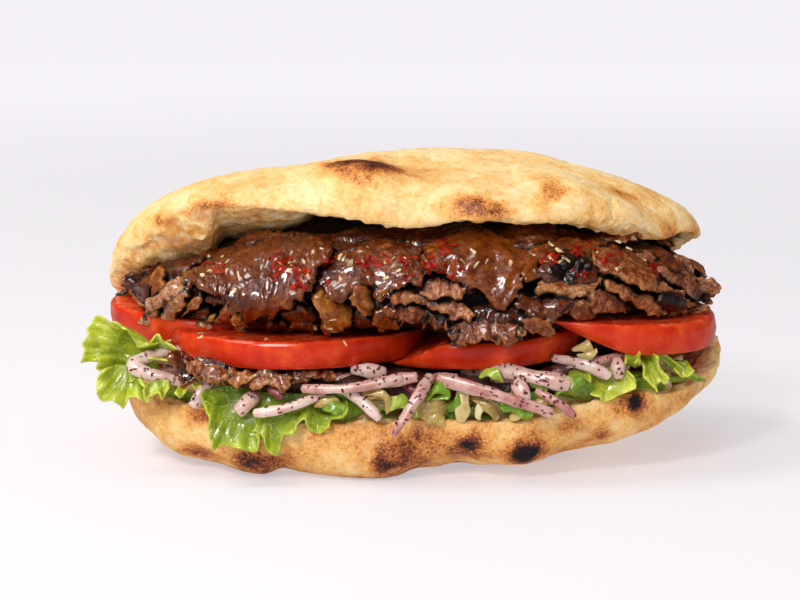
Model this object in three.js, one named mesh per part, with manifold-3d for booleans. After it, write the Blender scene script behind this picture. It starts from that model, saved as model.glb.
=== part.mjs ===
// A doner kebab sandwich: an oval loaf slit open along its front and left joined at the back, filled from the
// bottom up with shredded salad and lettuce leaves, sumac onions, thick tomato slices and a heap of shaved meat.
// Millimetres. +X runs along the loaf to the right, -Y is the open side, +Z is up, and the loaf rests on z = 0.

import * as THREE from "three";
import { mergeVertices } from "three/addons/utils/BufferGeometryUtils.js";
import Module from "manifold-3d";

const wasm = await Module();
wasm.setup();

const GAP = 0.35; // clearance between two pieces that touch

// ---------------------------------------------------------------------------------------------------------------
// Driving dimensions
// ---------------------------------------------------------------------------------------------------------------

// Rim heights are given every 45 degrees: right, back right, back, back left, left, front left, front, front right.
const LOWER_LOAF = {
  centre: [7.5, -2],
  half: [89.5, 53],
  plan: 2.45, // superellipse power of the outline seen from above
  rimHeights: [30.5, 38, 43, 34, 16, 16, 17.5, 21],
  wall: 7,
  floor: 8.5, // thickness under the filling
  fullness: 3.4, // superellipse power of the side
  pressed: 2.2, // how much of the belly is flattened where it rests
  liftFrom: 18, // the right end rises off the table from here on
  liftSpan: 79,
  lift: 17,
};

const UPPER_LOAF = {
  centre: [0.6, 3],
  half: [90, 50],
  plan: 2.1,
  rimHeights: [62, 47, 38, 37, 47, 71, 72.5, 72],
  wall: 7,
  crown: 89,
  crust: 9.5, // thickness of the crown
  fullness: 2.05,
};

// Blisters and dents of the crust: where, how wide, and how far they stand out.
const CRUST_BUMPS = [
  { at: [-11, -32, 84], radius: 11, height: 4.5 },
  { at: [-58, -28, 74], radius: 13, height: 2.5 },
  { at: [22, -44, 78], radius: 12, height: 2.2 },
  { at: [44, -38, 78], radius: 13, height: 1.8 },
  { at: [-36, 8, 84], radius: 19, height: -4.5 },
  { at: [8, -22, 86], radius: 14, height: -1.6 },
  { at: [36, 8, 88], radius: 17, height: 1.6 },
  { at: [-30, 30, 80], radius: 15, height: 2.5 },
  { at: [60, 24, 72], radius: 16, height: -2 },
  { at: [-47, -50, 2], radius: 12, height: 3.4 },
  { at: [-68, -38, 2], radius: 12, height: 3.2 },
  { at: [-57, -44, 3], radius: 5, height: -2 },
  { at: [-32, -53, 3], radius: 6, height: -1.2 },
  { at: [-10, -54, 3], radius: 15, height: 3 },
  { at: [17, -54, 2], radius: 12, height: -2.2 },
  { at: [34, -52, 3], radius: 9, height: 1.4 },
  { at: [30, -54, 12], radius: 15, height: 1.4 },
  { at: [66, -40, 18], radius: 14, height: 1.8 },
  { at: [10, 50, 20], radius: 20, height: 2 },
];

// Tomato slices by their middle, radius and thickness, leaning by pitch about X and roll about Y in degrees.
const TOMATOES = [
  { name: "tomato_front_left", at: [-29, -14.5, 37.2], radius: 40, thick: 9, pitch: -1, roll: 0 },
  { name: "tomato_right", at: [55, -10.5, 40.6], radius: 38.5, thick: 9, pitch: 0, roll: -1.5 },
  { name: "tomato_middle", at: [19.5, -23.5, 35.2], radius: 31.5, thick: 6.6, pitch: 1, roll: 5 },
  { name: "tomato_back_left", at: [-52.5, -4, 38.6], radius: 35.5, thick: 9, pitch: 0, roll: 2 },
];

// The mound of meat: an oval heap that falls away towards both ends.
const MEAT_HEAP = { centre: [5, -5], half: [87, 45], base: 42, height: 34, plan: 2.4, side: 2.4, fallAway: 0.3 };

// Shaved slices that show, by their middle: x and z on the open front, or an angle round the mound elsewhere.
// along and across are their size, turn their slant in degrees, and off how far they stand off the mound.
const MEAT_SLICES = [
  { x: -46, z: 56, along: 50, across: 26, turn: 14, off: 2.8 },
  { x: -63, z: 49, along: 24, across: 13, turn: 38, off: 4.2 },
  { x: -36, z: 46.5, along: 34, across: 9, turn: 4, off: 1.6 },
  { x: -10, z: 58, along: 37, across: 27, turn: 4, off: 3 },
  { x: -19, z: 47.5, along: 13, across: 13, turn: 84, off: 4.4 },
  { x: -8, z: 49.5, along: 11, across: 12, turn: 88, off: 3.8 },
  { x: 7, z: 47.5, along: 28, across: 7.5, turn: -10, off: 2.4 },
  { x: 25, z: 60.5, along: 33, across: 22, turn: -6, off: 3 },
  { x: 33, z: 52.5, along: 15, across: 12, turn: 84, off: 3.6 },
  { x: 28, z: 45.5, along: 31, across: 12, turn: 3, off: 3.2 },
  { x: 50, z: 59, along: 28, across: 18, turn: 3, off: 3 },
  { x: 53, z: 49, along: 26, across: 9, turn: -8, off: 1.8 },
  { x: 66, z: 55, along: 30, across: 11, turn: -20, off: 3.2 },
  { x: 71, z: 48.5, along: 27, across: 9, turn: -22, off: 2.4 },
  { angle: -20, z: 54, along: 32, across: 14, turn: -14, off: 3.8 },
  { angle: -8, z: 47, along: 26, across: 11, turn: -8, off: 3.4 },
  { angle: 16, z: 54, along: 30, across: 18, turn: 0, off: 2.2 },
  { angle: 196, z: 52, along: 28, across: 18, turn: 8, off: 2.4 },
];
// How deep a slice's back lies in the mound, how much its edge thins, its divisions, and how much it ripples.
const SLICE = { sunk: 2.2, edge: 1.6, grid: [6, 3], ripple: 0.9 };

// Meat that has slipped under the front left tomato slice.
const SLIPPED_MEAT = [
  { at: [-56, -48, 30.6], size: [30, 15, 3.4], yaw: -8, pitch: 18 },
  { at: [-34, -50, 29.4], size: [30, 12, 3.2], yaw: 5, pitch: 14 },
];

const ONION_LAYER = { centre: [5, -7], half: [79, 47], bottom: 21.2, top: 30.8 };
const ONION = { wide: 5, thick: 2.8, steps: 5 };
// Strips of onion from end to end, as [x, y, z] of both ends, and how far the middle bows out.
const ONION_STRIPS = [
  { from: [-78, -24, 25], to: [-51, -36, 28], bow: [-5, -8, 2.5] },
  { from: [-77, -28, 22.5], to: [-50, -41, 23.5], bow: [-5, -7, -1.5] },
  { from: [-61, -51, 20.5], to: [-49, -38, 28.5], bow: [-1, -3, 1.6] },
  { from: [-53, -55, 19.6], to: [-44, -40, 26.5], bow: [0, -2, 2.5] },
  { from: [-43, -58, 20.2], to: [-18, -54, 25.4], bow: [0, -2, -0.6] },
  { from: [-28, -56, 25], to: [5, -54, 30], bow: [0, -3, -1.5] },
  { from: [-17, -55, 25], to: [-6, -58, 19.2], bow: [0, -1, 0.6] },
  { from: [-16, -46, 30.4], to: [-2, -54, 28.4], bow: [0, -1, 1] },
  { from: [8, -52, 31], to: [-3.4, -61.5, 15.5], bow: [0.6, -1.5, 1.6] },
  { from: [9, -53, 30.6], to: [31, -57, 23.6], bow: [0, -2, 0.6] },
  { from: [24, -44, 29], to: [49, -55, 28], bow: [1, -3.5, 2] },
  { from: [27, -56, 26.6], to: [43, -57, 19.6], bow: [0, -1.5, 1] },
  { from: [37, -55, 26], to: [50, -56, 20.6], bow: [0, -1, 0.5] },
  { from: [37, -40, 29.5], to: [61, -49, 29.6], bow: [1, -4, 2] },
  { from: [44, -36, 29.5], to: [64, -42, 33.4], bow: [0, -4, 2] },
  { from: [57, -32, 28], to: [67, -46, 27.8], bow: [0, -1.5, 2] },
];

const SALAD_BED = { centre: [7, -2.5], half: [78, 42], bottom: 9.6, top: 19.6 };
// Shreds of cabbage and lettuce that stand at the front edge of the bed.
const SHRED = { count: 13, from: -50, to: 62, wide: 6, thick: 1.6, steps: 3, seed: 7 };

// Leaves of curly lettuce. A hanging leaf starts inside the front rim of the lower loaf between two x values,
// lies over the rim and hangs down outside it. A standing leaf grows from a root line in one direction.
const LEAVES = [
  {
    name: "lettuce_left",
    root: [[-70, -37, 17.5], [-73, -20, 40]],
    reach: [-23, -3, 0.5],
    lobes: 2.3,
    lobeDepth: 0.14,
    curls: 2.7,
    curlHeight: 4,
    thick: 0.9,
    grid: [16, 5],
  },
  {
    name: "lettuce_front",
    rim: [-59, -17],
    inside: 5,
    rest: 2.2,
    hang: 13,
    lobes: 2.6,
    lobeDepth: 0.3,
    curls: 2.4,
    curlHeight: 1.6,
    thick: 0.9,
    grid: [16, 5],
  },
  {
    name: "lettuce_right",
    rim: [37, 90],
    inside: 9,
    rest: 2.5,
    hang: 4,
    lobes: 5,
    lobeDepth: 0.32,
    curls: 4.5,
    curlHeight: 2.4,
    thick: 0.9,
    grid: [20, 4],
  },
];

// Flakes of dried herb and pepper on the meat.
const FLAKES = { count: 12, size: [3, 1.6, 1.2], seed: 21, from: -62, to: 66 };

const COLOURS = {
  bread: { color: 0xe0b877, roughness: 0.8 },
  tomato: { color: 0xc23a20, roughness: 0.28 },
  meat: { color: 0x6b4029, roughness: 0.42 },
  onion: { color: 0xe0c4bd, roughness: 0.4 },
  salad: { color: 0xb9b46a, roughness: 0.5 },
  lettuce: { color: 0x8faa26, roughness: 0.42 },
};

// ---------------------------------------------------------------------------------------------------------------
// Tools for shaping
// ---------------------------------------------------------------------------------------------------------------

const DEG = Math.PI / 180;
const mix = (a, b, f) => a + (b - a) * f;

// A repeatable random number source.
function seeded(seed) {
  let state = seed;
  return () => {
    state = (state * 1664525 + 1013904223) % 4294967296;
    return state / 4294967296;
  };
}

// A soft unevenness between -1 and 1 that has no visible repeat at the size of the loaf.
function uneven(x, y, z) {
  const a = Math.sin(x * 0.61 + 1.7 * Math.sin(y * 0.37 + z * 0.23));
  const b = Math.sin(y * 0.83 + 1.3 * Math.sin(z * 0.49 - x * 0.19) + 2);
  const c = Math.sin(z * 0.71 + 1.9 * Math.sin(x * 0.29 + y * 0.31) + 4);
  return (a + b + c) / 3;
}

// The value at an angle from +X of a closed ring of equally spaced values, joined by a smooth curve.
function ringValue(values, angle) {
  const count = values.length;
  const at = (((angle / (2 * Math.PI)) * count) % count + count) % count;
  const i = Math.floor(at);
  const f = at - i;
  const [a, b, c, d] = [-1, 0, 1, 2].map((k) => values[(i + k + count) % count]);
  return b + 0.5 * f * (c - a + f * (2 * a - 5 * b + 4 * c - d + f * (3 * (b - c) + d - a)));
}

// Merges the vertices that meet and drops the triangles that this leaves without area.
function welded(geometry) {
  const merged = mergeVertices(geometry, 1e-3);
  const kept = [];
  for (let i = 0; i < merged.index.count; i += 3) {
    const corners = [0, 1, 2].map((k) => merged.index.getX(i + k));
    if (new Set(corners).size === 3) kept.push(...corners);
  }
  merged.setIndex(kept);
  return merged;
}

// Moves every vertex of a geometry, then welds it.
function shaped(geometry, move) {
  const position = geometry.getAttribute("position");
  const p = new THREE.Vector3();
  for (let i = 0; i < position.count; i++) {
    move(p.fromBufferAttribute(position, i));
    position.setXYZ(i, p.x, p.y, p.z);
  }
  geometry.deleteAttribute("normal");
  geometry.deleteAttribute("uv");
  return welded(geometry);
}

// A closed sheet over a unit square: place(u, v, side) gives the point, with side 1 on its face and -1 on its back.
function sheet([across, along], place) {
  const face = new THREE.PlaneGeometry(1, 1, across, along);
  const grid = face.getAttribute("position");
  const triangles = [...face.index.array];
  const count = grid.count;
  const points = [];
  for (const side of [1, -1])
    for (let i = 0; i < count; i++) points.push(...place(grid.getX(i) + 0.5, grid.getY(i) + 0.5, side).toArray());
  const index = [...triangles];
  for (let i = 0; i < triangles.length; i += 3)
    index.push(triangles[i] + count, triangles[i + 2] + count, triangles[i + 1] + count);
  const rim = [];
  for (let i = 0; i < across; i++) rim.push(i);
  for (let j = 0; j < along; j++) rim.push(j * (across + 1) + across);
  for (let i = across; i > 0; i--) rim.push(along * (across + 1) + i);
  for (let j = along; j > 0; j--) rim.push(j * (across + 1));
  rim.forEach((a, k) => {
    const b = rim[(k + 1) % rim.length];
    index.push(a, b, a + count, b, b + count, a + count);
  });
  const made = new THREE.BufferGeometry().setAttribute("position", new THREE.Float32BufferAttribute(points, 3));
  made.setIndex(index);
  return welded(made);
}

// A geometry with its surface moved outwards, for cutting a neighbour with clearance.
function swollen(geometry, by) {
  const grown = geometry.clone();
  grown.computeVertexNormals();
  const position = grown.getAttribute("position");
  const normal = grown.getAttribute("normal");
  for (let i = 0; i < position.count; i++)
    position.setXYZ(
      i,
      position.getX(i) + normal.getX(i) * by,
      position.getY(i) + normal.getY(i) * by,
      position.getZ(i) + normal.getZ(i) * by,
    );
  return grown;
}

function volumeOf(geometry) {
  const position = geometry.getAttribute("position");
  const [a, b, c] = [new THREE.Vector3(), new THREE.Vector3(), new THREE.Vector3()];
  let six = 0;
  for (let i = 0; i < geometry.index.count; i += 3) {
    a.fromBufferAttribute(position, geometry.index.getX(i));
    b.fromBufferAttribute(position, geometry.index.getX(i + 1));
    c.fromBufferAttribute(position, geometry.index.getX(i + 2));
    six += a.dot(b.cross(c));
  }
  return six / 6;
}

// Turns a geometry's faces outwards where its profile ran the other way.
function facingOut(geometry) {
  if (volumeOf(geometry) < 0) {
    const index = geometry.index.array;
    for (let i = 0; i < index.length; i += 3) [index[i + 1], index[i + 2]] = [index[i + 2], index[i + 1]];
  }
  return geometry;
}

function solid(geometry) {
  return new wasm.Manifold(
    new wasm.Mesh({
      numProp: 3,
      vertProperties: new Float32Array(geometry.getAttribute("position").array),
      triVerts: new Uint32Array(geometry.index.array),
    }),
  );
}

const fused = (geometries) => geometries.map(solid).reduce((all, one) => all.add(one));
const cutters = (geometries) => fused(geometries.map((g) => swollen(g, GAP)));

// The largest body of a solid: scraps that a cut leaves loose are dropped.
function largest(made) {
  return made.decompose().reduce((best, one) => (one.volume() > best.volume() ? one : best));
}

function named(name, made, finish) {
  const mesh = made.getMesh();
  const points = new Float32Array(mesh.numVert * 3);
  for (let i = 0; i < mesh.numVert; i++)
    points.set(mesh.vertProperties.subarray(i * mesh.numProp, i * mesh.numProp + 3), i * 3);
  const geometry = new THREE.BufferGeometry().setAttribute("position", new THREE.BufferAttribute(points, 3));
  geometry.setIndex(new THREE.BufferAttribute(mesh.triVerts, 1));
  geometry.computeVertexNormals();
  const shown = new THREE.Mesh(geometry, new THREE.MeshStandardMaterial(finish));
  shown.name = name;
  return shown;
}

// ---------------------------------------------------------------------------------------------------------------
// The loaf: two halves of a puffed oval bread that meet in a fold along the back
// ---------------------------------------------------------------------------------------------------------------

const OUTER_RINGS = [0, 0.18, 0.34, 0.48, 0.6, 0.71, 0.81, 0.9, 0.96, 1];
const INNER_RINGS = [1.001, 1.12, 1.3, 1.6, 2];
const LOAF_SECTORS = 56;

// A shell turned about Z: rings run from the middle of the crust (0) over the lip (1) to the middle inside (2).
function shell(place) {
  const rings = [...OUTER_RINGS, ...INNER_RINGS];
  const profile = rings.map((s) => new THREE.Vector2(s > 1 ? 2 - s : s, s));
  const turned = new THREE.LatheGeometry(profile, LOAF_SECTORS);
  return facingOut(shaped(turned, (p) => p.copy(place(Math.atan2(p.z, p.x), p.y))));
}

function addBumps(p, middle) {
  const out = p.clone().sub(middle).normalize();
  for (const bump of CRUST_BUMPS) {
    const away = p.distanceTo(new THREE.Vector3(...bump.at)) / bump.radius;
    p.addScaledVector(out, bump.height * Math.exp(-away * away));
  }
  return p;
}

// Point of an oval rim, drawn in by some millimetres, with the loaf's own uneven outline.
function rimPoint(loaf, angle, reach, inset) {
  const [a, b] = loaf.half;
  const [c, s] = [Math.cos(angle), Math.sin(angle)];
  const wave = 1 + 0.012 * Math.sin(5 * angle + 0.6) + 0.008 * Math.sin(9 * angle + 2.1);
  const square = (Math.abs(c) ** loaf.plan + Math.abs(s) ** loaf.plan) ** (-1 / loaf.plan);
  return new THREE.Vector3(
    loaf.centre[0] + (a * wave - inset) * reach * square * c,
    loaf.centre[1] + (b * wave - inset) * reach * square * s,
    0,
  );
}

function lowerLoaf(angle, s) {
  const loaf = LOWER_LOAF;
  const rim = ringValue(loaf.rimHeights, angle) + 0.7 * Math.sin(11 * angle + 1);
  const inside = s > 1;
  const t = (inside ? 2 - s : s) * 90 * DEG;
  const power = 2 / loaf.fullness;
  const p = rimPoint(loaf, angle, Math.sin(t) ** power, inside ? loaf.wall : 0);
  const lift = loaf.lift * Math.max(0, (p.x - loaf.liftFrom) / loaf.liftSpan) ** 2;
  const bottom = inside ? lift + loaf.floor : lift - loaf.pressed;
  p.z = bottom + (rim - bottom) * (1 - Math.max(0, Math.cos(t)) ** power);
  if (!inside) addBumps(p, new THREE.Vector3(p.x * 0.6, 0, 30));
  p.z = Math.max(inside ? loaf.floor : 0, p.z);
  return p;
}

function upperLoaf(angle, s) {
  const loaf = UPPER_LOAF;
  const rim = ringValue(loaf.rimHeights, angle) + 0.6 * Math.sin(13 * angle);
  const inside = s > 1;
  const t = (inside ? 2 - s : s) * 90 * DEG;
  const power = 2 / loaf.fullness;
  const p = rimPoint(loaf, angle, Math.sin(t) ** power, inside ? loaf.wall : 0);
  const crown = loaf.crown - (inside ? loaf.crust : 0);
  p.z = rim + (crown - rim) * Math.max(0, Math.cos(t)) ** power;
  if (!inside) addBumps(p, new THREE.Vector3(p.x * 0.6, 0, 50));
  return p;
}

const loafHalves = [shell(lowerLoaf), shell(upperLoaf)];

// ---------------------------------------------------------------------------------------------------------------
// Tomato slices: thick discs with a rounded skin, turned as a lathe profile
// ---------------------------------------------------------------------------------------------------------------

const TOMATO_SECTORS = 32;

function tomato({ at, radius, thick, pitch, roll }) {
  const half = thick / 2;
  const profile = [
    [0, -half],
    [radius - 3.2, -half],
    [radius - 0.9, -half * 0.55],
    [radius, half * 0.1],
    [radius - 0.4, half * 0.7],
    [radius - 1.5, half],
    [0, half],
  ].map(([r, y]) => new THREE.Vector2(r, y));
  const disc = new THREE.LatheGeometry(profile, TOMATO_SECTORS);
  disc.rotateX(90 * DEG);
  const lean = new THREE.Euler(pitch * DEG, roll * DEG, 0);
  const middle = new THREE.Vector3(...at);
  return facingOut(
    shaped(disc, (p) => {
      const angle = Math.atan2(p.y, p.x);
      const lobes = 1 + 0.012 * Math.cos(5 * angle + radius) + 0.008 * Math.sin(3 * angle + at[0]);
      p.set(p.x * lobes, p.y * lobes, p.z).applyEuler(lean).add(middle);
    }),
  );
}

const tomatoes = TOMATOES.map(tomato);

// ---------------------------------------------------------------------------------------------------------------
// Shaved meat: a mound with thin ragged slices lying on its open sides
// ---------------------------------------------------------------------------------------------------------------

// Point of the mound, by the angle round it and the rise from its foot (0) to its top (90 degrees).
function moundPoint(angle, rise) {
  const { centre, half, base, height, plan, side, fallAway } = MEAT_HEAP;
  const [c, s] = [Math.cos(angle), Math.sin(angle)];
  const reach = (Math.abs(c / half[0]) ** plan + Math.abs(s / half[1]) ** plan) ** (-1 / plan);
  const [rc, rs] = [Math.cos(rise), Math.sin(rise)];
  const swell = (Math.abs(rc) ** side + Math.abs(rs) ** side) ** (-1 / side);
  const along = (reach * swell * rc * c) / half[0];
  return new THREE.Vector3(
    centre[0] + half[0] * along,
    centre[1] + reach * swell * rc * s,
    base + height * swell * rs * (1 - fallAway * Math.abs(along) ** 3),
  );
}

// The angle and rise of a spot on the mound: by x and z on the front, or by angle and z elsewhere.
function moundSpot({ x, angle, z }) {
  const { centre, half, base, height, plan, side } = MEAT_HEAP;
  const up = THREE.MathUtils.clamp((z - base) / height, 0, 0.98);
  const out = (1 - up ** side) ** (1 / side);
  const rise = Math.atan2(up, out);
  if (angle !== undefined) return [angle * DEG, rise];
  const across = THREE.MathUtils.clamp(Math.abs((x - centre[0]) / (half[0] * out)), 0, 0.995);
  const deep = half[1] * out * (1 - across ** plan) ** (1 / plan);
  return [Math.atan2(-deep, x - centre[0]), rise];
}

function moundNormal(angle, rise) {
  const step = 0.01;
  const round = moundPoint(angle + step, rise).sub(moundPoint(angle - step, rise));
  const up = moundPoint(angle, rise + step).sub(moundPoint(angle, rise - step));
  const normal = round.clone().cross(up).normalize();
  return { normal, round: round.length() / (2 * step), up: up.length() / (2 * step) };
}

// A slice laid on the mound. Its outline is a rounded patch with a ragged edge, and its back is inside the mound.
function meatSlice(slice, index) {
  const [angle, rise] = moundSpot(slice);
  const scale = moundNormal(angle, rise);
  const turn = slice.turn * DEG;
  return facingOut(
    sheet(SLICE.grid, (u, v, side) => {
      const [a, b] = [2 * u - 1, 2 * v - 1];
      const edge = Math.max(Math.abs(a), Math.abs(b));
      const around = Math.atan2(b, a);
      const ragged = 1 + 0.13 * Math.sin(5 * around + index * 2.1) + 0.08 * Math.sin(9 * around + index);
      const p = (slice.along / 2) * a * Math.sqrt(1 - (b * b) / 2) * ragged;
      const q = (slice.across / 2) * b * Math.sqrt(1 - (a * a) / 2) * ragged;
      const round = p * Math.cos(turn) - q * Math.sin(turn);
      const up = p * Math.sin(turn) + q * Math.cos(turn);
      const at = [angle + round / scale.round, rise + up / scale.up];
      const ripple = SLICE.ripple * Math.sin(p * 0.42 + index) * Math.cos(q * 0.3 + index * 1.7);
      const out = side > 0 ? slice.off + ripple - SLICE.edge * edge ** 4 : -SLICE.sunk;
      return moundPoint(...at).addScaledVector(moundNormal(...at).normal, out);
    }),
  );
}

function moundCore() {
  const ball = new THREE.SphereGeometry(1, 24, 10);
  ball.rotateX(90 * DEG);
  return facingOut(
    shaped(ball, (p) => {
      const angle = Math.atan2(p.y, p.x);
      const rise = Math.asin(THREE.MathUtils.clamp(p.z, -1, 1));
      const q = moundPoint(angle, Math.abs(rise));
      if (rise < 0) q.z = MEAT_HEAP.base - 9 * Math.sin(-rise);
      const lump = 0.9 * uneven(q.x, q.y, q.z);
      p.copy(q).addScaledVector(q.clone().sub(new THREE.Vector3(q.x * 0.7, 0, MEAT_HEAP.base)).normalize(), lump);
    }),
  );
}

// Flakes stand half sunk in the slices that face up and forwards.
function flakes() {
  const random = seeded(FLAKES.seed);
  const made = [];
  for (let i = 0; i < FLAKES.count; i++) {
    const x = mix(FLAKES.from, FLAKES.to, (i + random()) / FLAKES.count);
    const broad = MEAT_SLICES.filter((slice) => slice.x !== undefined && slice.across > 14);
    const under = broad.reduce((best, one) => (Math.abs(one.x - x) < Math.abs(best.x - x) ? one : best));
    const spot = moundSpot({ x: mix(under.x, x, 0.7), z: under.z + mix(-3, 6, random()) });
    const { normal } = moundNormal(...spot);
    const at = moundPoint(...spot).addScaledVector(normal, under.off + 0.2);
    const flake = new THREE.BoxGeometry(...FLAKES.size);
    flake.rotateZ(random() * 180 * DEG);
    flake.applyQuaternion(new THREE.Quaternion().setFromUnitVectors(new THREE.Vector3(0, 0, 1), normal));
    made.push(shaped(flake, (p) => p.add(at)));
  }
  return made;
}

const meatPieces = [moundCore(), ...MEAT_SLICES.map(meatSlice), ...flakes()];

function slippedSlice({ at, size, yaw, pitch }, index) {
  const lean = new THREE.Euler(pitch * DEG, 0, yaw * DEG, "ZYX");
  return facingOut(
    sheet([9, 3], (u, v, side) => {
      const [a, b] = [2 * u - 1, 2 * v - 1];
      const around = Math.atan2(b, a);
      const ragged = 1 + 0.16 * Math.sin(6 * around + index * 2) + 0.09 * Math.sin(11 * around);
      const edge = Math.max(Math.abs(a), Math.abs(b));
      const x = (size[0] / 2) * a * Math.sqrt(1 - (b * b) / 2) * ragged;
      const y = (size[1] / 2) * b * Math.sqrt(1 - (a * a) / 2) * ragged;
      const z = 0.7 * Math.sin(x * 0.5 + index) + side * size[2] * 0.5 * (1 - 0.45 * edge ** 3);
      return new THREE.Vector3(x, y, z).applyEuler(lean).add(new THREE.Vector3(...at));
    }),
  );
}

const slippedPieces = SLIPPED_MEAT.map(slippedSlice);

// ---------------------------------------------------------------------------------------------------------------
// Layers with strips: onions over a bed of shredded salad
// ---------------------------------------------------------------------------------------------------------------

// A low cushion with an uneven top, the inside of a layer.
function layer({ centre, half, bottom, top }) {
  const ball = new THREE.SphereGeometry(1, 22, 6);
  ball.rotateX(90 * DEG);
  const middle = (top + bottom) / 2;
  return facingOut(
    shaped(ball, (p) => {
      const flat = Math.sign(p.z) * Math.abs(p.z) ** 0.5;
      const reach = Math.hypot(p.x, p.y) ** -0.3 || 0;
      p.x = centre[0] + half[0] * p.x * reach;
      p.y = centre[1] + half[1] * p.y * reach;
      p.z = middle + (flat * (top - bottom)) / 2;
      p.z += 0.8 * uneven(p.x, p.y, p.z) * Math.abs(flat);
    }),
  );
}

// A strip of even width bent from end to end, broad side to the front.
function strip({ from, to, bow }, { wide, thick, steps }, twist = 0) {
  const [a, b, out] = [from, to, bow].map((v) => new THREE.Vector3(...v));
  const run = b.clone().sub(a);
  const flatSide = new THREE.Vector3(0, -1, 0.35).normalize().applyAxisAngle(run.clone().normalize(), twist);
  const broad = run.clone().cross(flatSide).normalize();
  const bar = new THREE.BoxGeometry(1, 1, 1, steps, 1, 1);
  return facingOut(
    shaped(bar, (p) => {
      const f = p.x + 0.5;
      const taper = 1 - 0.25 * Math.abs(2 * f - 1) ** 3;
      const along = a.clone().addScaledVector(run, f).addScaledVector(out, Math.sin(Math.PI * f));
      p.copy(along.addScaledVector(broad, p.y * wide * taper).addScaledVector(flatSide, p.z * thick));
    }),
  );
}

const onionPieces = [layer(ONION_LAYER), ...ONION_STRIPS.map((s) => strip(s, ONION))];

function shreds() {
  const random = seeded(SHRED.seed);
  const made = [];
  for (let i = 0; i < SHRED.count; i++) {
    const x = mix(SHRED.from, SHRED.to, (i + 0.7 * random()) / SHRED.count);
    const across = (x - SALAD_BED.centre[0]) / SALAD_BED.half[0];
    const edge = SALAD_BED.centre[1] - SALAD_BED.half[1] * Math.sqrt(1 - across * across);
    const slant = mix(-7, 7, random());
    const foot = mix(13.5, 16, random()) + 5 * Math.max(0, x / 60) ** 2;
    const from = [x - slant, edge + 9, foot];
    const to = [x + slant, edge - mix(1.5, 4, random()), foot + mix(3.5, 8.5, random())];
    made.push(strip({ from, to, bow: [0, -1, 1.5] }, SHRED, mix(-0.8, 0.8, random())));
  }
  return made;
}

const saladPieces = [layer(SALAD_BED), ...shreds()];

// ---------------------------------------------------------------------------------------------------------------
// Curly lettuce leaves
// ---------------------------------------------------------------------------------------------------------------

// y of the lower loaf's front rim at some x, and its height there.
function frontRim(x) {
  const { centre, half, plan, rimHeights } = LOWER_LOAF;
  const across = THREE.MathUtils.clamp((x - centre[0]) / half[0], -0.98, 0.98);
  const angle = -Math.atan2((1 - Math.abs(across) ** plan) ** (1 / plan), across);
  return { y: rimPoint(LOWER_LOAF, angle, 1, 0).y, z: ringValue(rimHeights, angle) };
}

// The middle surface of a leaf: u runs along its root, v from the root to the curly margin.
function hangingLeaf({ rim, inside, rest, hang }, u, far, curl) {
  const x = mix(rim[0], rim[1], u) + 1.5 * far * Math.sin(7 * u);
  const edge = frontRim(x);
  const over = THREE.MathUtils.smoothstep(far, 0, 0.5);
  const down = Math.max(0, far - 0.3) ** 1.3;
  return new THREE.Vector3(x, mix(edge.y + inside, edge.y - 3, over) - curl, edge.z + rest - hang * down * 1.6);
}

function standingLeaf({ root, reach }, u, far, curl) {
  const [a, b, out] = [...root, reach].map((v) => new THREE.Vector3(...v));
  const along = b.sub(a);
  const face = out.clone().cross(along).normalize();
  return a.addScaledVector(along, u).addScaledVector(out, far).addScaledVector(face, curl);
}

function leaf(form) {
  const { lobes, lobeDepth, curls, curlHeight, thick, grid } = form;
  const place = form.rim ? hangingLeaf : standingLeaf;
  const middle = (u, v) => {
    const outer = Math.max(0, v);
    const length = 1 - lobeDepth * (1 + Math.cos(lobes * 2 * Math.PI * u)) * 0.5 - 0.3 * Math.abs(2 * u - 1) ** 4;
    const fine = 0.35 * outer * Math.sin(curls * 5.3 * Math.PI * u + 2);
    const wave = Math.sin(curls * 2 * Math.PI * u + 1.5 * v) + fine;
    return place(form, u, v * length, curlHeight * outer ** 1.5 * wave);
  };
  return facingOut(
    sheet(grid, (u, v, side) => {
      const step = 0.02;
      const du = middle(u + step, v).sub(middle(u - step, v));
      const dv = middle(u, v + step).sub(middle(u, v - step));
      return middle(u, v).addScaledVector(du.cross(dv).normalize(), (side * thick) / 2);
    }),
  );
}

const leafPieces = LEAVES.map(leaf);

// ---------------------------------------------------------------------------------------------------------------
// Fitting the pieces together: each softer piece gives way to the firmer ones that it touches
// ---------------------------------------------------------------------------------------------------------------

const loafCut = cutters(loafHalves);
const tomatoCuts = tomatoes.map((t) => solid(swollen(t, GAP)));
const allTomatoesCut = tomatoCuts.reduce((all, one) => all.add(one));
const slippedCut = cutters(slippedPieces);
const onionCut = cutters(onionPieces);
const leafCuts = leafPieces.map((l) => solid(swollen(l, GAP)));

const sandwich = new THREE.Group();
const add = (name, made, finish) => sandwich.add(named(name, largest(made), COLOURS[finish]));

add("bread", fused(loafHalves), "bread");

const [frontLeft, right, middle, backLeft] = tomatoes.map((t) => solid(t).subtract(loafCut));
const [frontLeftCut, rightCut, middleCut] = tomatoCuts;
add(TOMATOES[0].name, frontLeft, "tomato");
add(TOMATOES[1].name, right, "tomato");
add(TOMATOES[2].name, middle.subtract(frontLeftCut).subtract(rightCut), "tomato");
add(TOMATOES[3].name, backLeft.subtract(frontLeftCut).subtract(middleCut), "tomato");

add("meat_heap", fused(meatPieces).subtract(loafCut).subtract(allTomatoesCut), "meat");
add("meat_slipped", fused(slippedPieces).subtract(loafCut).subtract(allTomatoesCut), "meat");

const meatHeapFoot = cutters([meatPieces[0]]);
add(
  "onion_heap",
  fused(onionPieces).subtract(loafCut).subtract(allTomatoesCut).subtract(slippedCut).subtract(meatHeapFoot),
  "onion",
);

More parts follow.
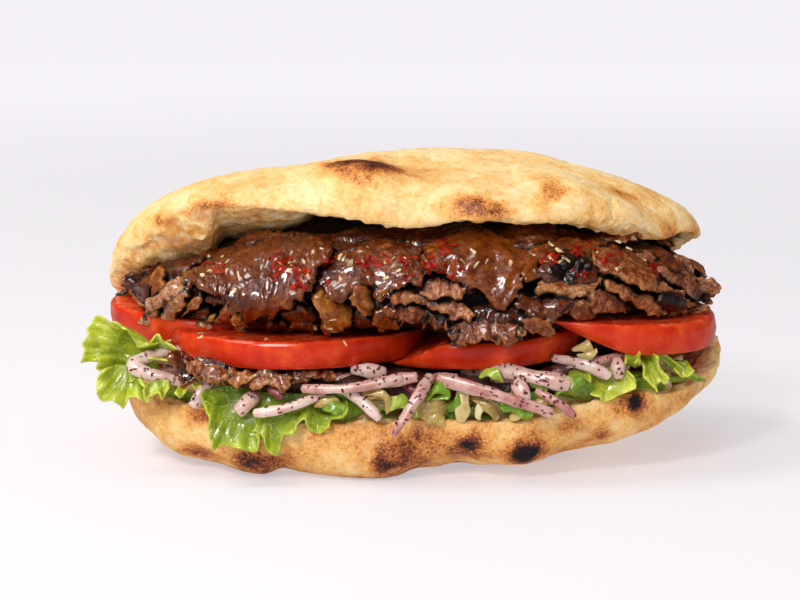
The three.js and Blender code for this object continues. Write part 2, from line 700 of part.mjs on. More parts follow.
leafPieces.forEach((piece, i) => {
  const free = solid(piece).subtract(loafCut).subtract(allTomatoesCut).subtract(slippedCut).subtract(onionCut);
  add(LEAVES[i].name, free.subtract(meatHeapFoot), "lettuce");
});

const salad = fused(saladPieces).subtract(loafCut).subtract(allTomatoesCut).subtract(slippedCut).subtract(onionCut);
add(
  "salad_bed",
  leafCuts.reduce((rest, cut) => rest.subtract(cut), salad),
  "salad",
);

export default sandwich;
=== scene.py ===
import math

import bpy
import numpy as np
from mathutils import Matrix, Vector
from mathutils.bvhtree import BVHTree


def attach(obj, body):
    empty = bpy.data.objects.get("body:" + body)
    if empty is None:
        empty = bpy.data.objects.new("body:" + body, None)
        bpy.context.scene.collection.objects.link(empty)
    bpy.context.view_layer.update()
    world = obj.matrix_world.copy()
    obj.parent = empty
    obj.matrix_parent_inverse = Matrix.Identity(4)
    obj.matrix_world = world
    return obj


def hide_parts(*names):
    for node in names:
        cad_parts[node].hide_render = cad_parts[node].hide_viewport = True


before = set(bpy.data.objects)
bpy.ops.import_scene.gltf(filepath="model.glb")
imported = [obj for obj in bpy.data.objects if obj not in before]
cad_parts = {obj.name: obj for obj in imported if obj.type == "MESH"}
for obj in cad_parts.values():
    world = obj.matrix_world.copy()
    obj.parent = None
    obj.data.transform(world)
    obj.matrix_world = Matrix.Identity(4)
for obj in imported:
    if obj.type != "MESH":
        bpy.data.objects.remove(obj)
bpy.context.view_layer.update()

# ------------------------
# Camera, lights and floor. A long lens looks down by ten degrees at the open side of the sandwich.
# A big soft lamp stands at the upper left, a smaller one above the camera, and the floor is a pale table.
# ------------------------
MM = 0.001
TARGET = Vector((0, 0, 43.3)) * MM
CAMERA_DISTANCE = 650 * MM
CAMERA_TILT = math.radians(10)
LENS, FILM_WIDTH = 95.9, 36

camera_data = bpy.data.cameras.new("camera")
camera_data.lens = LENS
camera_data.sensor_width = FILM_WIDTH
camera_data.clip_start = 0.01
camera = bpy.data.objects.new("camera", camera_data)
bpy.context.scene.collection.objects.link(camera)
camera.location = TARGET + CAMERA_DISTANCE * Vector((0, -math.cos(CAMERA_TILT), math.sin(CAMERA_TILT)))
camera.rotation_euler = (TARGET - camera.location).to_track_quat("-Z", "Y").to_euler()
bpy.context.scene.camera = camera


def add_softbox(name, place, size, watts, colour):
    """A rectangular lamp that faces the sandwich, its place and size in metres."""
    lamp = bpy.data.lights.new(name, "AREA")
    lamp.shape = "RECTANGLE"
    lamp.size, lamp.size_y = size
    lamp.energy = watts
    lamp.color = colour
    holder = bpy.data.objects.new(name, lamp)
    bpy.context.scene.collection.objects.link(holder)
    holder.location = Vector(place)
    holder.rotation_euler = (TARGET - holder.location).to_track_quat("-Z", "Y").to_euler()
    return holder


add_softbox("key_softbox", (-0.62, -0.05, 0.95), (0.36, 0.36), 4.4, (1, 0.985, 0.955))
add_softbox("front_softbox", (-0.25, -0.95, 0.66), (0.4, 0.2), 1.2, (1, 0.985, 0.96))
add_softbox("small_lamp", (-0.42, -0.78, 0.72), (0.15, 0.2), 4.8, (1, 0.985, 0.96))
# A card that only shows as a mirror image in what is wet.
card = add_softbox("reflector_card", (-0.2, -0.78, 0.8), (0.38, 0.2), 8.5, (1, 0.985, 0.97))
card.visible_diffuse = False

sky = bpy.data.lights.new("overhead", "SUN")
sky.energy = 0.6
sky.angle = math.radians(80)
overhead = bpy.data.objects.new("overhead", sky)
overhead.rotation_euler = (math.radians(12), math.radians(-28), 0)
overhead.visible_glossy = False
bpy.context.scene.collection.objects.link(overhead)

def add_node(tree, kind, place=(0, 0), **settings):
    node = tree.nodes.new(kind)
    node.location = place
    for key, value in settings.items():
        setattr(node, key, value)
    return node


def set_inputs(node, values):
    """Sets a node's sockets, given by name."""
    for socket, value in values.items():
        node.inputs[socket].default_value = value


def spread(tree, value, low, high, to_low=0.0, to_high=1.0):
    """A value brought from one range to another, and held inside it."""
    node = add_node(tree, "ShaderNodeMapRange", (-700, 0), clamp=True)
    tree.links.new(value, node.inputs["Value"])
    for socket, number in zip(("From Min", "From Max", "To Min", "To Max"), (low, high, to_low, to_high)):
        node.inputs[socket].default_value = number
    return node.outputs["Result"]


def new_material(name):
    """A node material with its shader, and a point in object space to hang patterns on."""
    material = bpy.data.materials.new(name)
    material.use_nodes = True
    tree = material.node_tree
    place = add_node(tree, "ShaderNodeTexCoord", (-1400, 0)).outputs["Object"]
    return material, tree, tree.nodes["Principled BSDF"], place


# The room is bright all round for what lies in shade, but dim where it mirrors in wet surfaces.
world = bpy.data.worlds.new("studio")
world.use_nodes = True
tree = world.node_tree
room = tree.nodes["Background"]
room.inputs["Color"].default_value = (0.95, 0.93, 0.985, 1)
mirrored = add_node(tree, "ShaderNodeLightPath").outputs["Is Glossy Ray"]
tree.links.new(spread(tree, mirrored, 0, 1, 0.52, 0.07), room.inputs["Strength"])
bpy.context.scene.world = world
bpy.context.scene.view_settings.view_transform = "Standard"

bpy.ops.object.select_all(action="DESELECT")
bpy.ops.mesh.primitive_plane_add(size=60)
floor = bpy.context.object
floor.name = "floor"
# The table is a sheet of milky glass lit from below, which keeps the shadows on it pale.
floor_paint, tree, shader, place = new_material("table_top")
mirrored = add_node(tree, "ShaderNodeLightPath").outputs["Is Glossy Ray"]
way_off = add_node(tree, "ShaderNodeVectorMath", operation="LENGTH")
tree.links.new(place, way_off.inputs[0])
glow = spread(tree, way_off.outputs["Value"], 0.2, 1.7, 0.46, 0.66)
glow.node.interpolation_type = "SMOOTHERSTEP"
table_light = add_node(tree, "ShaderNodeMath", operation="MULTIPLY")
tree.links.new(glow, table_light.inputs[0])
tree.links.new(spread(tree, mirrored, 0, 1, 1.0, 0.3), table_light.inputs[1])
tree.links.new(table_light.outputs["Value"], shader.inputs["Emission Strength"])
table_colour = add_node(tree, "ShaderNodeMix", data_type="RGBA")
set_inputs(table_colour, {"A": (0.43, 0.42, 0.43, 1), "B": (0.13, 0.13, 0.13, 1)})
tree.links.new(mirrored, table_colour.inputs["Factor"])
tree.links.new(table_colour.outputs["Result"], shader.inputs["Base Color"])
set_inputs(shader, {"Roughness": 0.7, "Emission Color": (0.985, 0.955, 1, 1)})
floor.data.materials.append(floor_paint)

# ------------------------
# The loaf: a puffed oval flatbread slit open along the front, its halves still joined by the fold behind.
# Both halves are turned shells; a remesh joins them, and fine lumps and blisters are raised on the crust.
# ------------------------
# Each half: its middle and half sizes in plan, how square the plan is, the wall's thickness, and the rim's
# heights at equal steps round the plan, from the right end over the back.
LOWER_LOAF = dict(centre=(6.9, -2), half=(90.1, 53), plan=2.45, wall=7, floor=8.5, fullness=3.4, pressed=2.2,
                  rims=(30.5, 38, 43, 34, 21, 20.5, 18, 21.5), lift_from=18, lift_span=79, lift=17)
UPPER_LOAF = dict(centre=(0.6, 3), half=(90, 50), plan=2.1, wall=7, crown=89, crust=9.5, fullness=2.05,
                  rims=(62, 47, 38, 37, 47, 71, 72.5, 72))
LOAF_COLUMNS, LOAF_ROWS = 300, 180
LOAF_VOXEL = 1.065
# Blisters and dents: place, radius and height in millimetres.
CRUST_BUMPS = (
    ((-9.5, -32, 85), 12, 5.4), ((-58, -28, 74), 13, 2.5), ((22, -44, 78), 12, 2.2), ((44, -38, 78), 13, 1.8),
    ((-36, 8, 84), 19, -4.5), ((8, -22, 86), 14, -1.6), ((36, 8, 88), 17, 1.6), ((-30, 30, 80), 15, 2.5),
    ((60, 24, 72), 16, -2), ((-47, -50, 2), 12, 3.4), ((-68, -38, 2), 12, 3.2), ((-57, -44, 3), 5, -2),
    ((-32, -53, 3), 6, -1.2), ((-10, -54, 3), 15, 3), ((17, -54, 2), 12, -2.2), ((34, -52, 3), 9, 1.4),
    ((30, -54, 12), 15, 1.4), ((66, -40, 18), 14, 1.8), ((10, 50, 20), 20, 2),
)
# How far the front of the belly is lifted off the table, by x, in millimetres.
BELLY_LIFT = (
    (-90, 2), (-69, 0.6), (-64, -0.3), (-51, -0.8), (-45, -1.4), (-38.6, -1.6), (-34, 0.2), (-30, -0.4),
    (-25, -0.8), (-17, -0.9), (-5, -1.2), (-0.6, -0.8), (4.3, 0.9), (11.4, 1.6), (17.3, 2.4), (22, 1.6),
    (30, 1.2), (39.5, 0.4), (49, 1.4), (57, 1.5), (68, 1.5), (79, 1.2), (84, 1.2), (87, 2.6), (91, 4.5),
)


def lumps(points, size, seed=0):
    """Smooth noise between -1 and 1 whose lumps are about size across."""
    cell = np.asarray(points, float) / size + 37.3 * seed
    base = np.floor(cell).astype(np.int64)
    near = cell - base
    near = near ** 3 * (near * (near * 6 - 15) + 10)
    total = np.zeros(len(cell))
    for corner in np.ndindex(2, 2, 2):
        x, y, z = (base + corner).T
        mixed = (x * 73856093 ^ y * 19349663 ^ z * 83492791) & 0x7FFFFFFF
        mixed = ((mixed ^ (mixed >> 13)) * 1274126177) & 0x7FFFFFFF
        total += np.where(corner, near, 1 - near).prod(axis=1) * (mixed / 2 ** 30 - 1)
    return total


def ring_value(values, angle):
    """The value at an angle of a closed ring of equally spaced values, joined by a smooth curve."""
    values = np.asarray(values, float)
    at = (angle / (2 * np.pi) * len(values)) % len(values)
    i = np.floor(at).astype(int)
    f = at - i
    a, b, c, d = (values[(i + k) % len(values)] for k in (-1, 0, 1, 2))
    return b + 0.5 * f * (c - a + f * (2 * a - 5 * b + 4 * c - d + f * (3 * (b - c) + d - a)))


def oval(loaf, angle, reach, inset):
    """Places in plan on a half of the loaf, reach going from 0 at its middle to 1 at its side."""
    wave = 1 + 0.012 * np.sin(5 * angle + 0.6) + 0.008 * np.sin(9 * angle + 2.1)
    c, s = np.cos(angle), np.sin(angle)
    square = (np.abs(c) ** loaf["plan"] + np.abs(s) ** loaf["plan"]) ** (-1 / loaf["plan"])
    return (loaf["centre"][0] + (loaf["half"][0] * wave - inset) * reach * square * c,
            loaf["centre"][1] + (loaf["half"][1] * wave - inset) * reach * square * s)


def raise_bumps(points, middle_height):
    """The points with the blisters and dents raised away from the loaf's middle."""
    heart = np.stack([points[:, 0] * 0.6, np.zeros(len(points)), np.full(len(points), middle_height)], 1)
    out = points - heart
    out /= np.linalg.norm(out, axis=1, keepdims=True)
    for place, radius, height in CRUST_BUMPS:
        away = np.linalg.norm(points - place, axis=1) / radius
        points = points + out * (height * np.exp(-away ** 2))[:, None]
    return points


def lower_surface(angle, way, inside):
    loaf = LOWER_LOAF
    rim = ring_value(loaf["rims"], angle) + 0.7 * np.sin(11 * angle + 1)
    rim += 4.5 * np.exp(-((angle - 5.37) / 0.2) ** 2)
    power = 2 / loaf["fullness"]
    x, y = oval(loaf, angle, np.sin(way) ** power, loaf["wall"] if inside else 0)
    lift = loaf["lift"] * np.maximum(0, (x - loaf["lift_from"]) / loaf["lift_span"]) ** 2
    bottom = lift + (loaf["floor"] if inside else -loaf["pressed"])
    z = bottom + (rim - bottom) * (1 - np.maximum(0, np.cos(way)) ** power)
    points = np.stack([x, y, z], 1)
    if not inside:
        points = raise_bumps(points, 30)
        front_foot = np.clip((-points[:, 1] - 12) / 20, 0, 1) * np.clip((30 - points[:, 2]) / 22, 0, 1)
        lifted = np.interp(points[:, 0], *np.transpose(BELLY_LIFT)) * front_foot
        points[:, 2] += lifted
        points[:, 1] += 1.5 * np.minimum(lifted, 0) + 0.4 * np.maximum(lifted, 0)
    points[:, 2] = np.maximum(loaf["floor"] if inside else 0, points[:, 2])
    return points


def upper_surface(angle, way, inside):
    loaf = UPPER_LOAF
    rim = ring_value(loaf["rims"], angle) + 0.6 * np.sin(13 * angle)
    rim -= 4.5 * np.exp(-((angle - 5.77) / 0.2) ** 2)
    rim += 4.2 * np.exp(-((angle - 4.18) / 0.3) ** 2)
    power = 2 / loaf["fullness"]
    # The wall is thin where the knife went in, along the front and most of all at the front left.
    thin = np.clip(-np.sin(angle + 0.45), 0, 1) ** 0.7
    wall = loaf["wall"] - 4.2 * thin
    x, y = oval(loaf, angle, np.sin(way) ** power, wall if inside else 0)
    crown = loaf["crown"] - (loaf["crust"] if inside else 0)
    z = rim + (crown - rim) * np.maximum(0, np.cos(way)) ** power
    if inside:
        # Behind the lip the crumb slopes down to the filling, and at the right the cut face shows.
        left = np.clip((-49 - x) / 7, 0, 1)
        z = z + left * (np.minimum(z, 69.5 + 0.62 * (-38 - y)) - z)
        slot = np.clip((-20 - x) / 10, 0, 1)
        z = z + slot * (np.minimum(z, 76.5 + 0.5 * (-40 - y)) - z)
        right = np.clip((x - 42) / 16, 0, 1) * np.clip((-18 - y) / 12, 0, 1)
        z = z - 5.2 * right * np.clip((np.sin(way) - 0.8) / 0.2, 0, 1)
    points = np.stack([x, y, z], 1)
    return points if inside else raise_bumps(points, 50)


def activate(piece):
    bpy.ops.object.select_all(action="DESELECT")
    piece.select_set(True)
    bpy.context.view_layer.objects.active = piece


def apply_modifier(piece, kind, **settings):
    activate(piece)
    modifier = piece.modifiers.new(kind.lower(), kind)
    for key, value in settings.items():
        setattr(modifier, key, value)
    bpy.ops.object.modifier_apply(modifier=modifier.name)


def coordinates(piece):
    """The points of a mesh in millimetres."""
    flat = np.empty(len(piece.data.vertices) * 3)
    piece.data.vertices.foreach_get("co", flat)
    return flat.reshape(-1, 3) / MM


def normals(piece):
    flat = np.empty(len(piece.data.vertices) * 3)
    piece.data.vertices.foreach_get("normal", flat)
    return flat.reshape(-1, 3)


def set_coordinates(piece, points):
    piece.data.vertices.foreach_set("co", (np.asarray(points) * MM).ravel())
    piece.data.update()


def set_attribute(piece, name, values):
    """Notes down a number on each point: one for all of them, or a list."""
    attribute = piece.data.attributes.new(name, "FLOAT", "POINT")
    attribute.data.foreach_set("value", np.full(len(piece.data.vertices), values, np.float32))


def shaped_grid(name, columns, rows, shape):
    """A grid primitive whose points are moved to shape(u, v) in millimetres, u and v going from -1 to 1."""
    bpy.ops.object.select_all(action="DESELECT")
    bpy.ops.mesh.primitive_grid_add(x_subdivisions=columns, y_subdivisions=rows, size=2)
    piece = bpy.context.object
    piece.name = piece.data.name = name
    flat = coordinates(piece) * MM
    set_coordinates(piece, shape(flat[:, 0], flat[:, 1]))
    piece.data.polygons.foreach_set("use_smooth", np.ones(len(piece.data.polygons), bool))
    return piece


def join(pieces):
    """One object from several, which keeps the name of the first."""
    activate(pieces[0])
    for piece in pieces:
        piece.select_set(True)
    bpy.ops.object.join()
    return bpy.context.object


def face_outwards(piece):
    """Merges the doubled points at seams and poles, and turns all faces outwards."""
    activate(piece)
    bpy.ops.object.mode_set(mode="EDIT")
    bpy.ops.mesh.select_all(action="SELECT")
    bpy.ops.mesh.remove_doubles(threshold=0.005 * MM)
    bpy.ops.mesh.normals_make_consistent(inside=False)
    bpy.ops.object.mode_set(mode="OBJECT")


def half_loaf(name, surface):
    """The outer wall from its pole to the rim, then the inner wall back to its pole."""
    def shape(u, v):
        angle, way = (u + 1) * np.pi, (v + 1) * np.pi / 2
        outer = surface(angle, np.minimum(way, np.pi / 2), False)
        inner = surface(angle, np.pi / 2 - np.clip(way - np.pi / 2, 0.001, None), True)
        return np.where((v <= 0)[:, None], outer, inner)
    return shaped_grid(name, LOAF_COLUMNS, LOAF_ROWS, shape)


bottom_half = half_loaf("loaf", lower_surface)
top_half = half_loaf("loaf_top", upper_surface)
crust_tree_points, crust_tree_faces = [], []
outer_count = (LOAF_COLUMNS + 1) * (LOAF_ROWS // 2 + 1)
for half in (bottom_half, top_half):
    corners = np.empty(len(half.data.loops), int)
    half.data.loops.foreach_get("vertex_index", corners)
    quads = corners.reshape(-1, 4)
    outer = quads[quads.max(axis=1) < outer_count]
    crust_tree_faces += (outer + sum(map(len, crust_tree_points))).tolist()
    crust_tree_points.append(coordinates(half))
crust_tree = BVHTree.FromPolygons([Vector(p) for p in np.vstack(crust_tree_points)], crust_tree_faces)
loaf = join([bottom_half, top_half])
face_outwards(loaf)
apply_modifier(loaf, "REMESH", mode="VOXEL", voxel_size=LOAF_VOXEL * MM)
apply_modifier(loaf, "SMOOTH", factor=0.5, iterations=4)

# Scorched and toasted places: place, how far each spreads along x, y and z, and how dark it is.
SCORCHES = (
    ((-9.5, -31, 88.5), (13, 10, 4), 0.66), ((-60, -30, 65), (15, 9, 4), 0.42),
    ((-73, -30, 57), (8, 9, 4), 0.4), ((-8, -37, 88), (12, 9, 5), 0.34), ((20, -48, 78.4), (8, 8, 3.8), 0.6),
    ((27, -47, 77.5), (5, 6, 3), 0.44), ((43, -40, 82), (4.5, 9, 5), 0.44), ((40, -34, 86), (5, 5, 3), 0.3),
    ((-58, -40, 74.5), (9, 6, 2.2), 0.42), ((-52, -38, 77.5), (7, 5, 1.8), 0.36),
    ((-66, -34, 72), (5, 5, 3), 0.3), ((69, -20, 80), (7, 6, 4), 0.34), ((80, -20, 66), (6, 7, 5), 0.36),
    ((88, -12, 60), (6, 9, 7), 0.42), ((-72, -34, 72), (9, 8, 3), 0.36),
    ((35.5, -54, 8.6), (4.9, 6, 3.0), 1.15), ((36, -54, 8.6), (8.5, 8, 5), 0.56),
    ((66.6, -40, 21.8), (2.9, 12, 2.7), 1.15), ((66.6, -40, 21.8), (4.8, 12, 4.4), 0.6),
    ((19.5, -56, 11), (4.5, 8, 3.6), 0.72), ((19, -56, 9), (9, 9, 5), 0.42), ((-4, -56, 5), (4, 8, 4), 0.66),
    ((0, -56, 8), (7, 8, 6), 0.42), ((-41, -52, 6), (7, 8, 4), 0.5), ((-38, -52, 4), (11, 8, 6), 0.36),
    ((-61, -44, 5), (8, 6, 3.2), 0.5), ((-57, -47, 18), (5, 6, 4), 0.36),
    ((58, -44, 12.5), (2.4, 5, 2.4), 0.36), ((48, -50, 16), (5, 6, 3), 0.2), ((7, -56, 14), (8, 6, 4), 0.26),
    ((92, -8, 33), (5, 6, 5), 0.36), ((20, 30, 86), (10, 9, 5), 0.55), ((-50, 20, 78), (9, 9, 6), 0.6),
    ((55, 20, 76), (9, 8, 6), 0.5), ((-20, 46, 60), (10, 9, 8), 0.6), ((30, 50, 55), (9, 9, 7), 0.55),
    ((60, 38, 45), (8, 8, 6), 0.6), ((-60, 36, 40), (8, 8, 6), 0.5), ((0, 54, 30), (9, 8, 6), 0.5),
)
points, facing = coordinates(loaf), normals(loaf)
# Crumb is what lies deeper than the crust, and the edge is the band between them that the knife frayed.
depth = np.array([crust_tree.find_nearest(Vector(p))[3] for p in points])
crumb = np.clip((depth - 1.0) / 1.8, 0, 1)
edge = np.clip(1 - np.abs(depth - 1.6) / 1.6, 0, 1)
creases = 1 - np.abs(lumps(points + 3 * lumps(points, 15, 8)[:, None], 9, 9)) * 3
relief = (0.55 * lumps(points, 17, 1) + 0.3 * lumps(points, 7, 2) + 0.16 * lumps(points, 3.2, 3)
          - 0.35 * np.clip(creases, 0, 1) ** 2 + 0.1 * lumps(points, 1.9, 13))
torn = 0.8 * lumps(points, 5, 4) + 0.55 * lumps(points, 2.6, 5)
flat_base = np.clip(points[:, 2] / 2, 0, 1)
frayed = edge * (0.7 * lumps(points, 2.6, 14) + 0.5 * lumps(points, 1.7, 15))
moved = points + facing * (flat_base * ((1 - crumb) * relief + frayed) + crumb * torn)[:, None]
moved[:, 2] = np.maximum(moved[:, 2], 0)
set_coordinates(loaf, moved)
toast = np.zeros(len(points))
for place, reach, dark in SCORCHES:
    wobble = 1 + 0.3 * lumps(points, 7, 6) + 0.22 * lumps(points, 2.8, 7)
    away = np.linalg.norm((points - place) / reach, axis=1) / wobble
    toast = np.maximum(toast, dark * np.exp(-away ** 2.6))
lower = np.clip((34 - points[:, 2]) / 16, 0, 1)
bake = (0.10 * lower + 0.12 * np.clip(lumps(points, 22, 10) + 0.2, 0, 1)
        + 0.17 * lower * np.clip(lumps(points, 12, 16) + 0.3, 0, 1))
underside = np.clip((3 - points[:, 2]) / 3, 0, 1) * 0.25
set_attribute(loaf, "crumb", crumb)
set_attribute(loaf, "toast", toast)
set_attribute(loaf, "bake", bake + underside)


def noise(tree, place, size, detail=2.0, roughness=0.5, distortion=0.0):
    """A noise texture whose lumps are about size millimetres across."""
    node = add_node(tree, "ShaderNodeTexNoise", (-1100, 0))
    tree.links.new(place, node.inputs["Vector"])
    set_inputs(node, {"Scale": 1 / (size * MM), "Detail": detail, "Roughness": roughness,
                      "Distortion": distortion})
    return node.outputs["Fac"]


def arithmetic(tree, operation, first, second=0.0, third=0.0, clamp=False):
    """A sum or product of sockets and numbers."""
    node = add_node(tree, "ShaderNodeMath", (-800, 0), operation=operation, use_clamp=clamp)
    for socket, value in zip(node.inputs, (first, second, third)):
        if isinstance(value, bpy.types.NodeSocket):
            tree.links.new(value, socket)
        else:
            socket.default_value = value
    return node.outputs["Value"]


def attribute(tree, name):
    return add_node(tree, "ShaderNodeAttribute", (-1400, -200), attribute_name=name).outputs["Fac"]


def colour_of(red, green, blue):
    """A colour in scene light from the 0 to 255 values of a display."""
    def linear(value):
        value /= 255
        return value / 12.92 if value <= 0.04045 else ((value + 0.055) / 1.055) ** 2.4
    return linear(red), linear(green), linear(blue), 1


def ramp(tree, value, *stops):
    """A colour ramp with stops given as position and display colour."""
    node = add_node(tree, "ShaderNodeValToRGB", (-500, 0))
    elements = node.color_ramp.elements
    while len(elements) < len(stops):
        elements.new(0.5)
    for element, (position, display) in zip(elements, stops):
        element.position = position
        element.color = colour_of(*display)
    tree.links.new(value, node.inputs["Fac"])
    return node.outputs["Color"]


def blend(tree, factor, first, second):
    """Two colours mixed by a factor; either may be a socket or a display colour."""
    node = add_node(tree, "ShaderNodeMix", (-300, 0), data_type="RGBA")
    sockets = {s.identifier: s for s in node.inputs}
    for key, value in (("Factor_Float", factor), ("A_Color", first), ("B_Color", second)):
        if isinstance(value, bpy.types.NodeSocket):
            tree.links.new(value, sockets[key])
        elif key == "Factor_Float":
            sockets[key].default_value = value
        else:
            sockets[key].default_value = colour_of(*value)
    return {s.identifier: s for s in node.outputs}["Result_Color"]


def add_bump(tree, shader, height, distance, strength):
    """Fine relief that a height pattern gives the shader, distance millimetres high."""
    bump = add_node(tree, "ShaderNodeBump", (-200, -400))
    set_inputs(bump, {"Strength": strength, "Distance": distance * MM})
    tree.links.new(height, bump.inputs["Height"])
    tree.links.new(bump.outputs["Normal"], shader.inputs["Normal"])


def add_softness(shader, weight, scale, radius):
    """Light that seeps through: how much, how deep in millimetres, and the share of that for each colour."""
    set_inputs(shader, {"Subsurface Weight": weight, "Subsurface Scale": scale * MM,
                        "Subsurface Radius": radius})


baked, tree, shader, place = new_material("baked_loaf")
mottle = noise(tree, place, 13, 3, 0.55)
freckle = noise(tree, place, 2.2, 3, 0.65)
grain = noise(tree, place, 0.75, 3, 0.7)
browning = arithmetic(tree, "ADD", spread(tree, mottle, 0.42, 0.72, 0.0, 0.25), attribute(tree, "bake"))
browning = arithmetic(tree, "ADD", browning, spread(tree, freckle, 0.45, 0.8, 0, 0.2))
browning = arithmetic(tree, "ADD", browning, attribute(tree, "toast"))
# The browning is made of fine dots, which grow denser and darker where the crust is hotter.
dots = spread(tree, grain, 0.32, 0.68, -1, 1)
dots = arithmetic(tree, "MULTIPLY", dots, spread(tree, browning, 0.0, 0.6, 0.05, 0.2))
browning = arithmetic(tree, "ADD", browning, dots, clamp=True)
crust_colour = ramp(tree, browning, (0.0, (248, 218, 162)), (0.14, (243, 200, 128)), (0.3, (234, 172, 88)),
                    (0.45, (214, 136, 60)), (0.6, (162, 84, 34)), (0.76, (98, 42, 22)), (0.88, (46, 24, 20)),
                    (1.0, (24, 18, 20)))
flour = spread(tree, noise(tree, place, 5, 4, 0.65), 0.5, 0.7, 0, 0.5)
flour = arithmetic(tree, "MULTIPLY", flour, spread(tree, grain, 0.42, 0.6))
flour = arithmetic(tree, "MULTIPLY", flour, spread(tree, attribute(tree, "toast"), 0.02, 0.3, 1, 0))
crust_colour = blend(tree, flour, crust_colour, (255, 240, 206))
pores = noise(tree, place, 2.6, 4, 0.6)
crumb_colour = ramp(tree, pores, (0.3, (204, 134, 52)), (0.46, (244, 194, 112)), (0.62, (255, 234, 184)))
golden = spread(tree, noise(tree, place, 9, 3, 0.55), 0.46, 0.66, 0, 0.7)
crumb_colour = blend(tree, golden, crumb_colour, (222, 146, 52))
toasted = spread(tree, attribute(tree, "toast"), 0.05, 0.5, 0, 0.75)
crumb_colour = blend(tree, toasted, crumb_colour, (184, 98, 32))
surface = blend(tree, attribute(tree, "crumb"), crust_colour, crumb_colour)
tree.links.new(surface, shader.inputs["Base Color"])
tree.links.new(spread(tree, browning, 0.2, 0.8, 0.66, 0.36), shader.inputs["Roughness"])
add_softness(shader, 0.12, 1.5, (1.0, 0.5, 0.25))
add_bump(tree, shader, arithmetic(tree, "MULTIPLY_ADD", grain, 0.5, freckle), 0.6, 0.9)
shader.inputs["Specular IOR Level"].default_value = 0.4
loaf.data.materials.append(baked)
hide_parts("bread")
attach(loaf, "root")

# ------------------------
# The salad bed: cut white cabbage and green lettuce, loosely packed on the bottom half.
# A low cushion in painted shade fills the middle, and separate curled shreds lie over it and along its open
# edge.
# ------------------------
SALAD_BED = dict(centre=(7, -2.5), half=(76, 40), bottom=9.6, top=19.6)
# The oval that the loose shreds lie along.
SHRED_LINE = dict(centre=(7, -2.5), half=(82, 45))
CABBAGE_THICKNESS, LETTUCE_THICKNESS = 0.9, 0.6


def cushion(name, centre, half, bottom, top, relief):
    """A low closed layer of food: flat in the middle, rounded and lumpy at its edge."""
    def shape(u, v):
        angle, rise = (u + 1) * np.pi, v * np.pi / 2
        flat = np.sign(v) * np.abs(np.sin(rise)) ** 0.5
        reach = np.cos(rise) ** 0.7
        points = np.stack([centre[0] + half[0] * reach * np.cos(angle),
                           centre[1] + half[1] * reach * np.sin(angle),
                           (bottom + top) / 2 + flat * (top - bottom) / 2], 1)
        away = np.stack([np.cos(angle) * reach, np.sin(angle) * reach, flat], 1)
        return points + away * (relief * lumps(points, 9, 11) + relief * 0.6 * lumps(points, 4, 12))[:, None]
    piece = shaped_grid(name, 150, 50, shape)
    face_outwards(piece)
    return piece


def ribbon(start, end, bow, wide, twist, cup, ripple, blunt, columns, rows, seed):
    """A thin strip bent from start to end. Cup hollows it across, and ripple waves its two edges."""
    start, end, bow = (np.asarray(v, float) for v in (start, end, bow))
    run = end - start
    axis = Vector(run).normalized()
    face = Vector((0, -1, 0.35)).normalized()

    def shape(u, v):
        t = (u + 1) / 2
        points = start + run * t[:, None] + bow * np.sin(np.pi * t)[:, None]
        turned = [Matrix.Rotation(twist * (k - 0.5), 3, axis) @ face for k in t]
        outward = np.array([tuple(f) for f in turned])
        broad = np.cross(np.tile(tuple(axis), (len(t), 1)), outward)
        taper = (1 - np.abs(u) ** 6 * (1 - blunt)) * (1 + 0.16 * np.sin(5 * u + seed))
        wave = ripple * np.sin(9 * t + 4 * seed + 1.5 * v) * np.abs(v)
        return points + broad * (v * wide / 2 * taper)[:, None] + outward * (wave - cup * v * v)[:, None]
    return shaped_grid("strip", columns, rows, shape)


random = np.random.default_rng(7)
bed = cushion("salad_bed_core", **SALAD_BED, relief=1.2)
cabbage, greens = [], []
for i in range(190):
    x = random.uniform(-62, 76)
    across = (x - SHRED_LINE["centre"][0]) / SHRED_LINE["half"][0]
    edge = SHRED_LINE["centre"][1] - SHRED_LINE["half"][1] * np.sqrt(1 - across * across)
    back = random.random() < 0.2
    y = -edge - 8 + random.uniform(-6, 2) if back else edge + random.uniform(-3.5, 6)
    z = 15.5 + 9 * random.random() + 7 * max(0, (x - 20) / 60) ** 2 + (4 if back else 0)
    heading = random.uniform(-1.1, 1.1)
    long = random.uniform(7, 15)
    step = np.array([math.cos(heading), 0.35 * random.uniform(-1, 1), 0.5 * math.sin(heading)]) * long
    middle = np.array([x, y, z])
    bow = (0, -random.uniform(-1, 3), random.uniform(-2, 3.5))
    kind = cabbage if random.random() < 0.55 else greens
    kind.append(ribbon(middle - step, middle + step, bow, random.uniform(2.2, 5.5), random.uniform(-2.5, 2.5),
                       random.uniform(-0.9, 0.9), random.uniform(0.2, 1.1), 0.7, 14, 3, i))
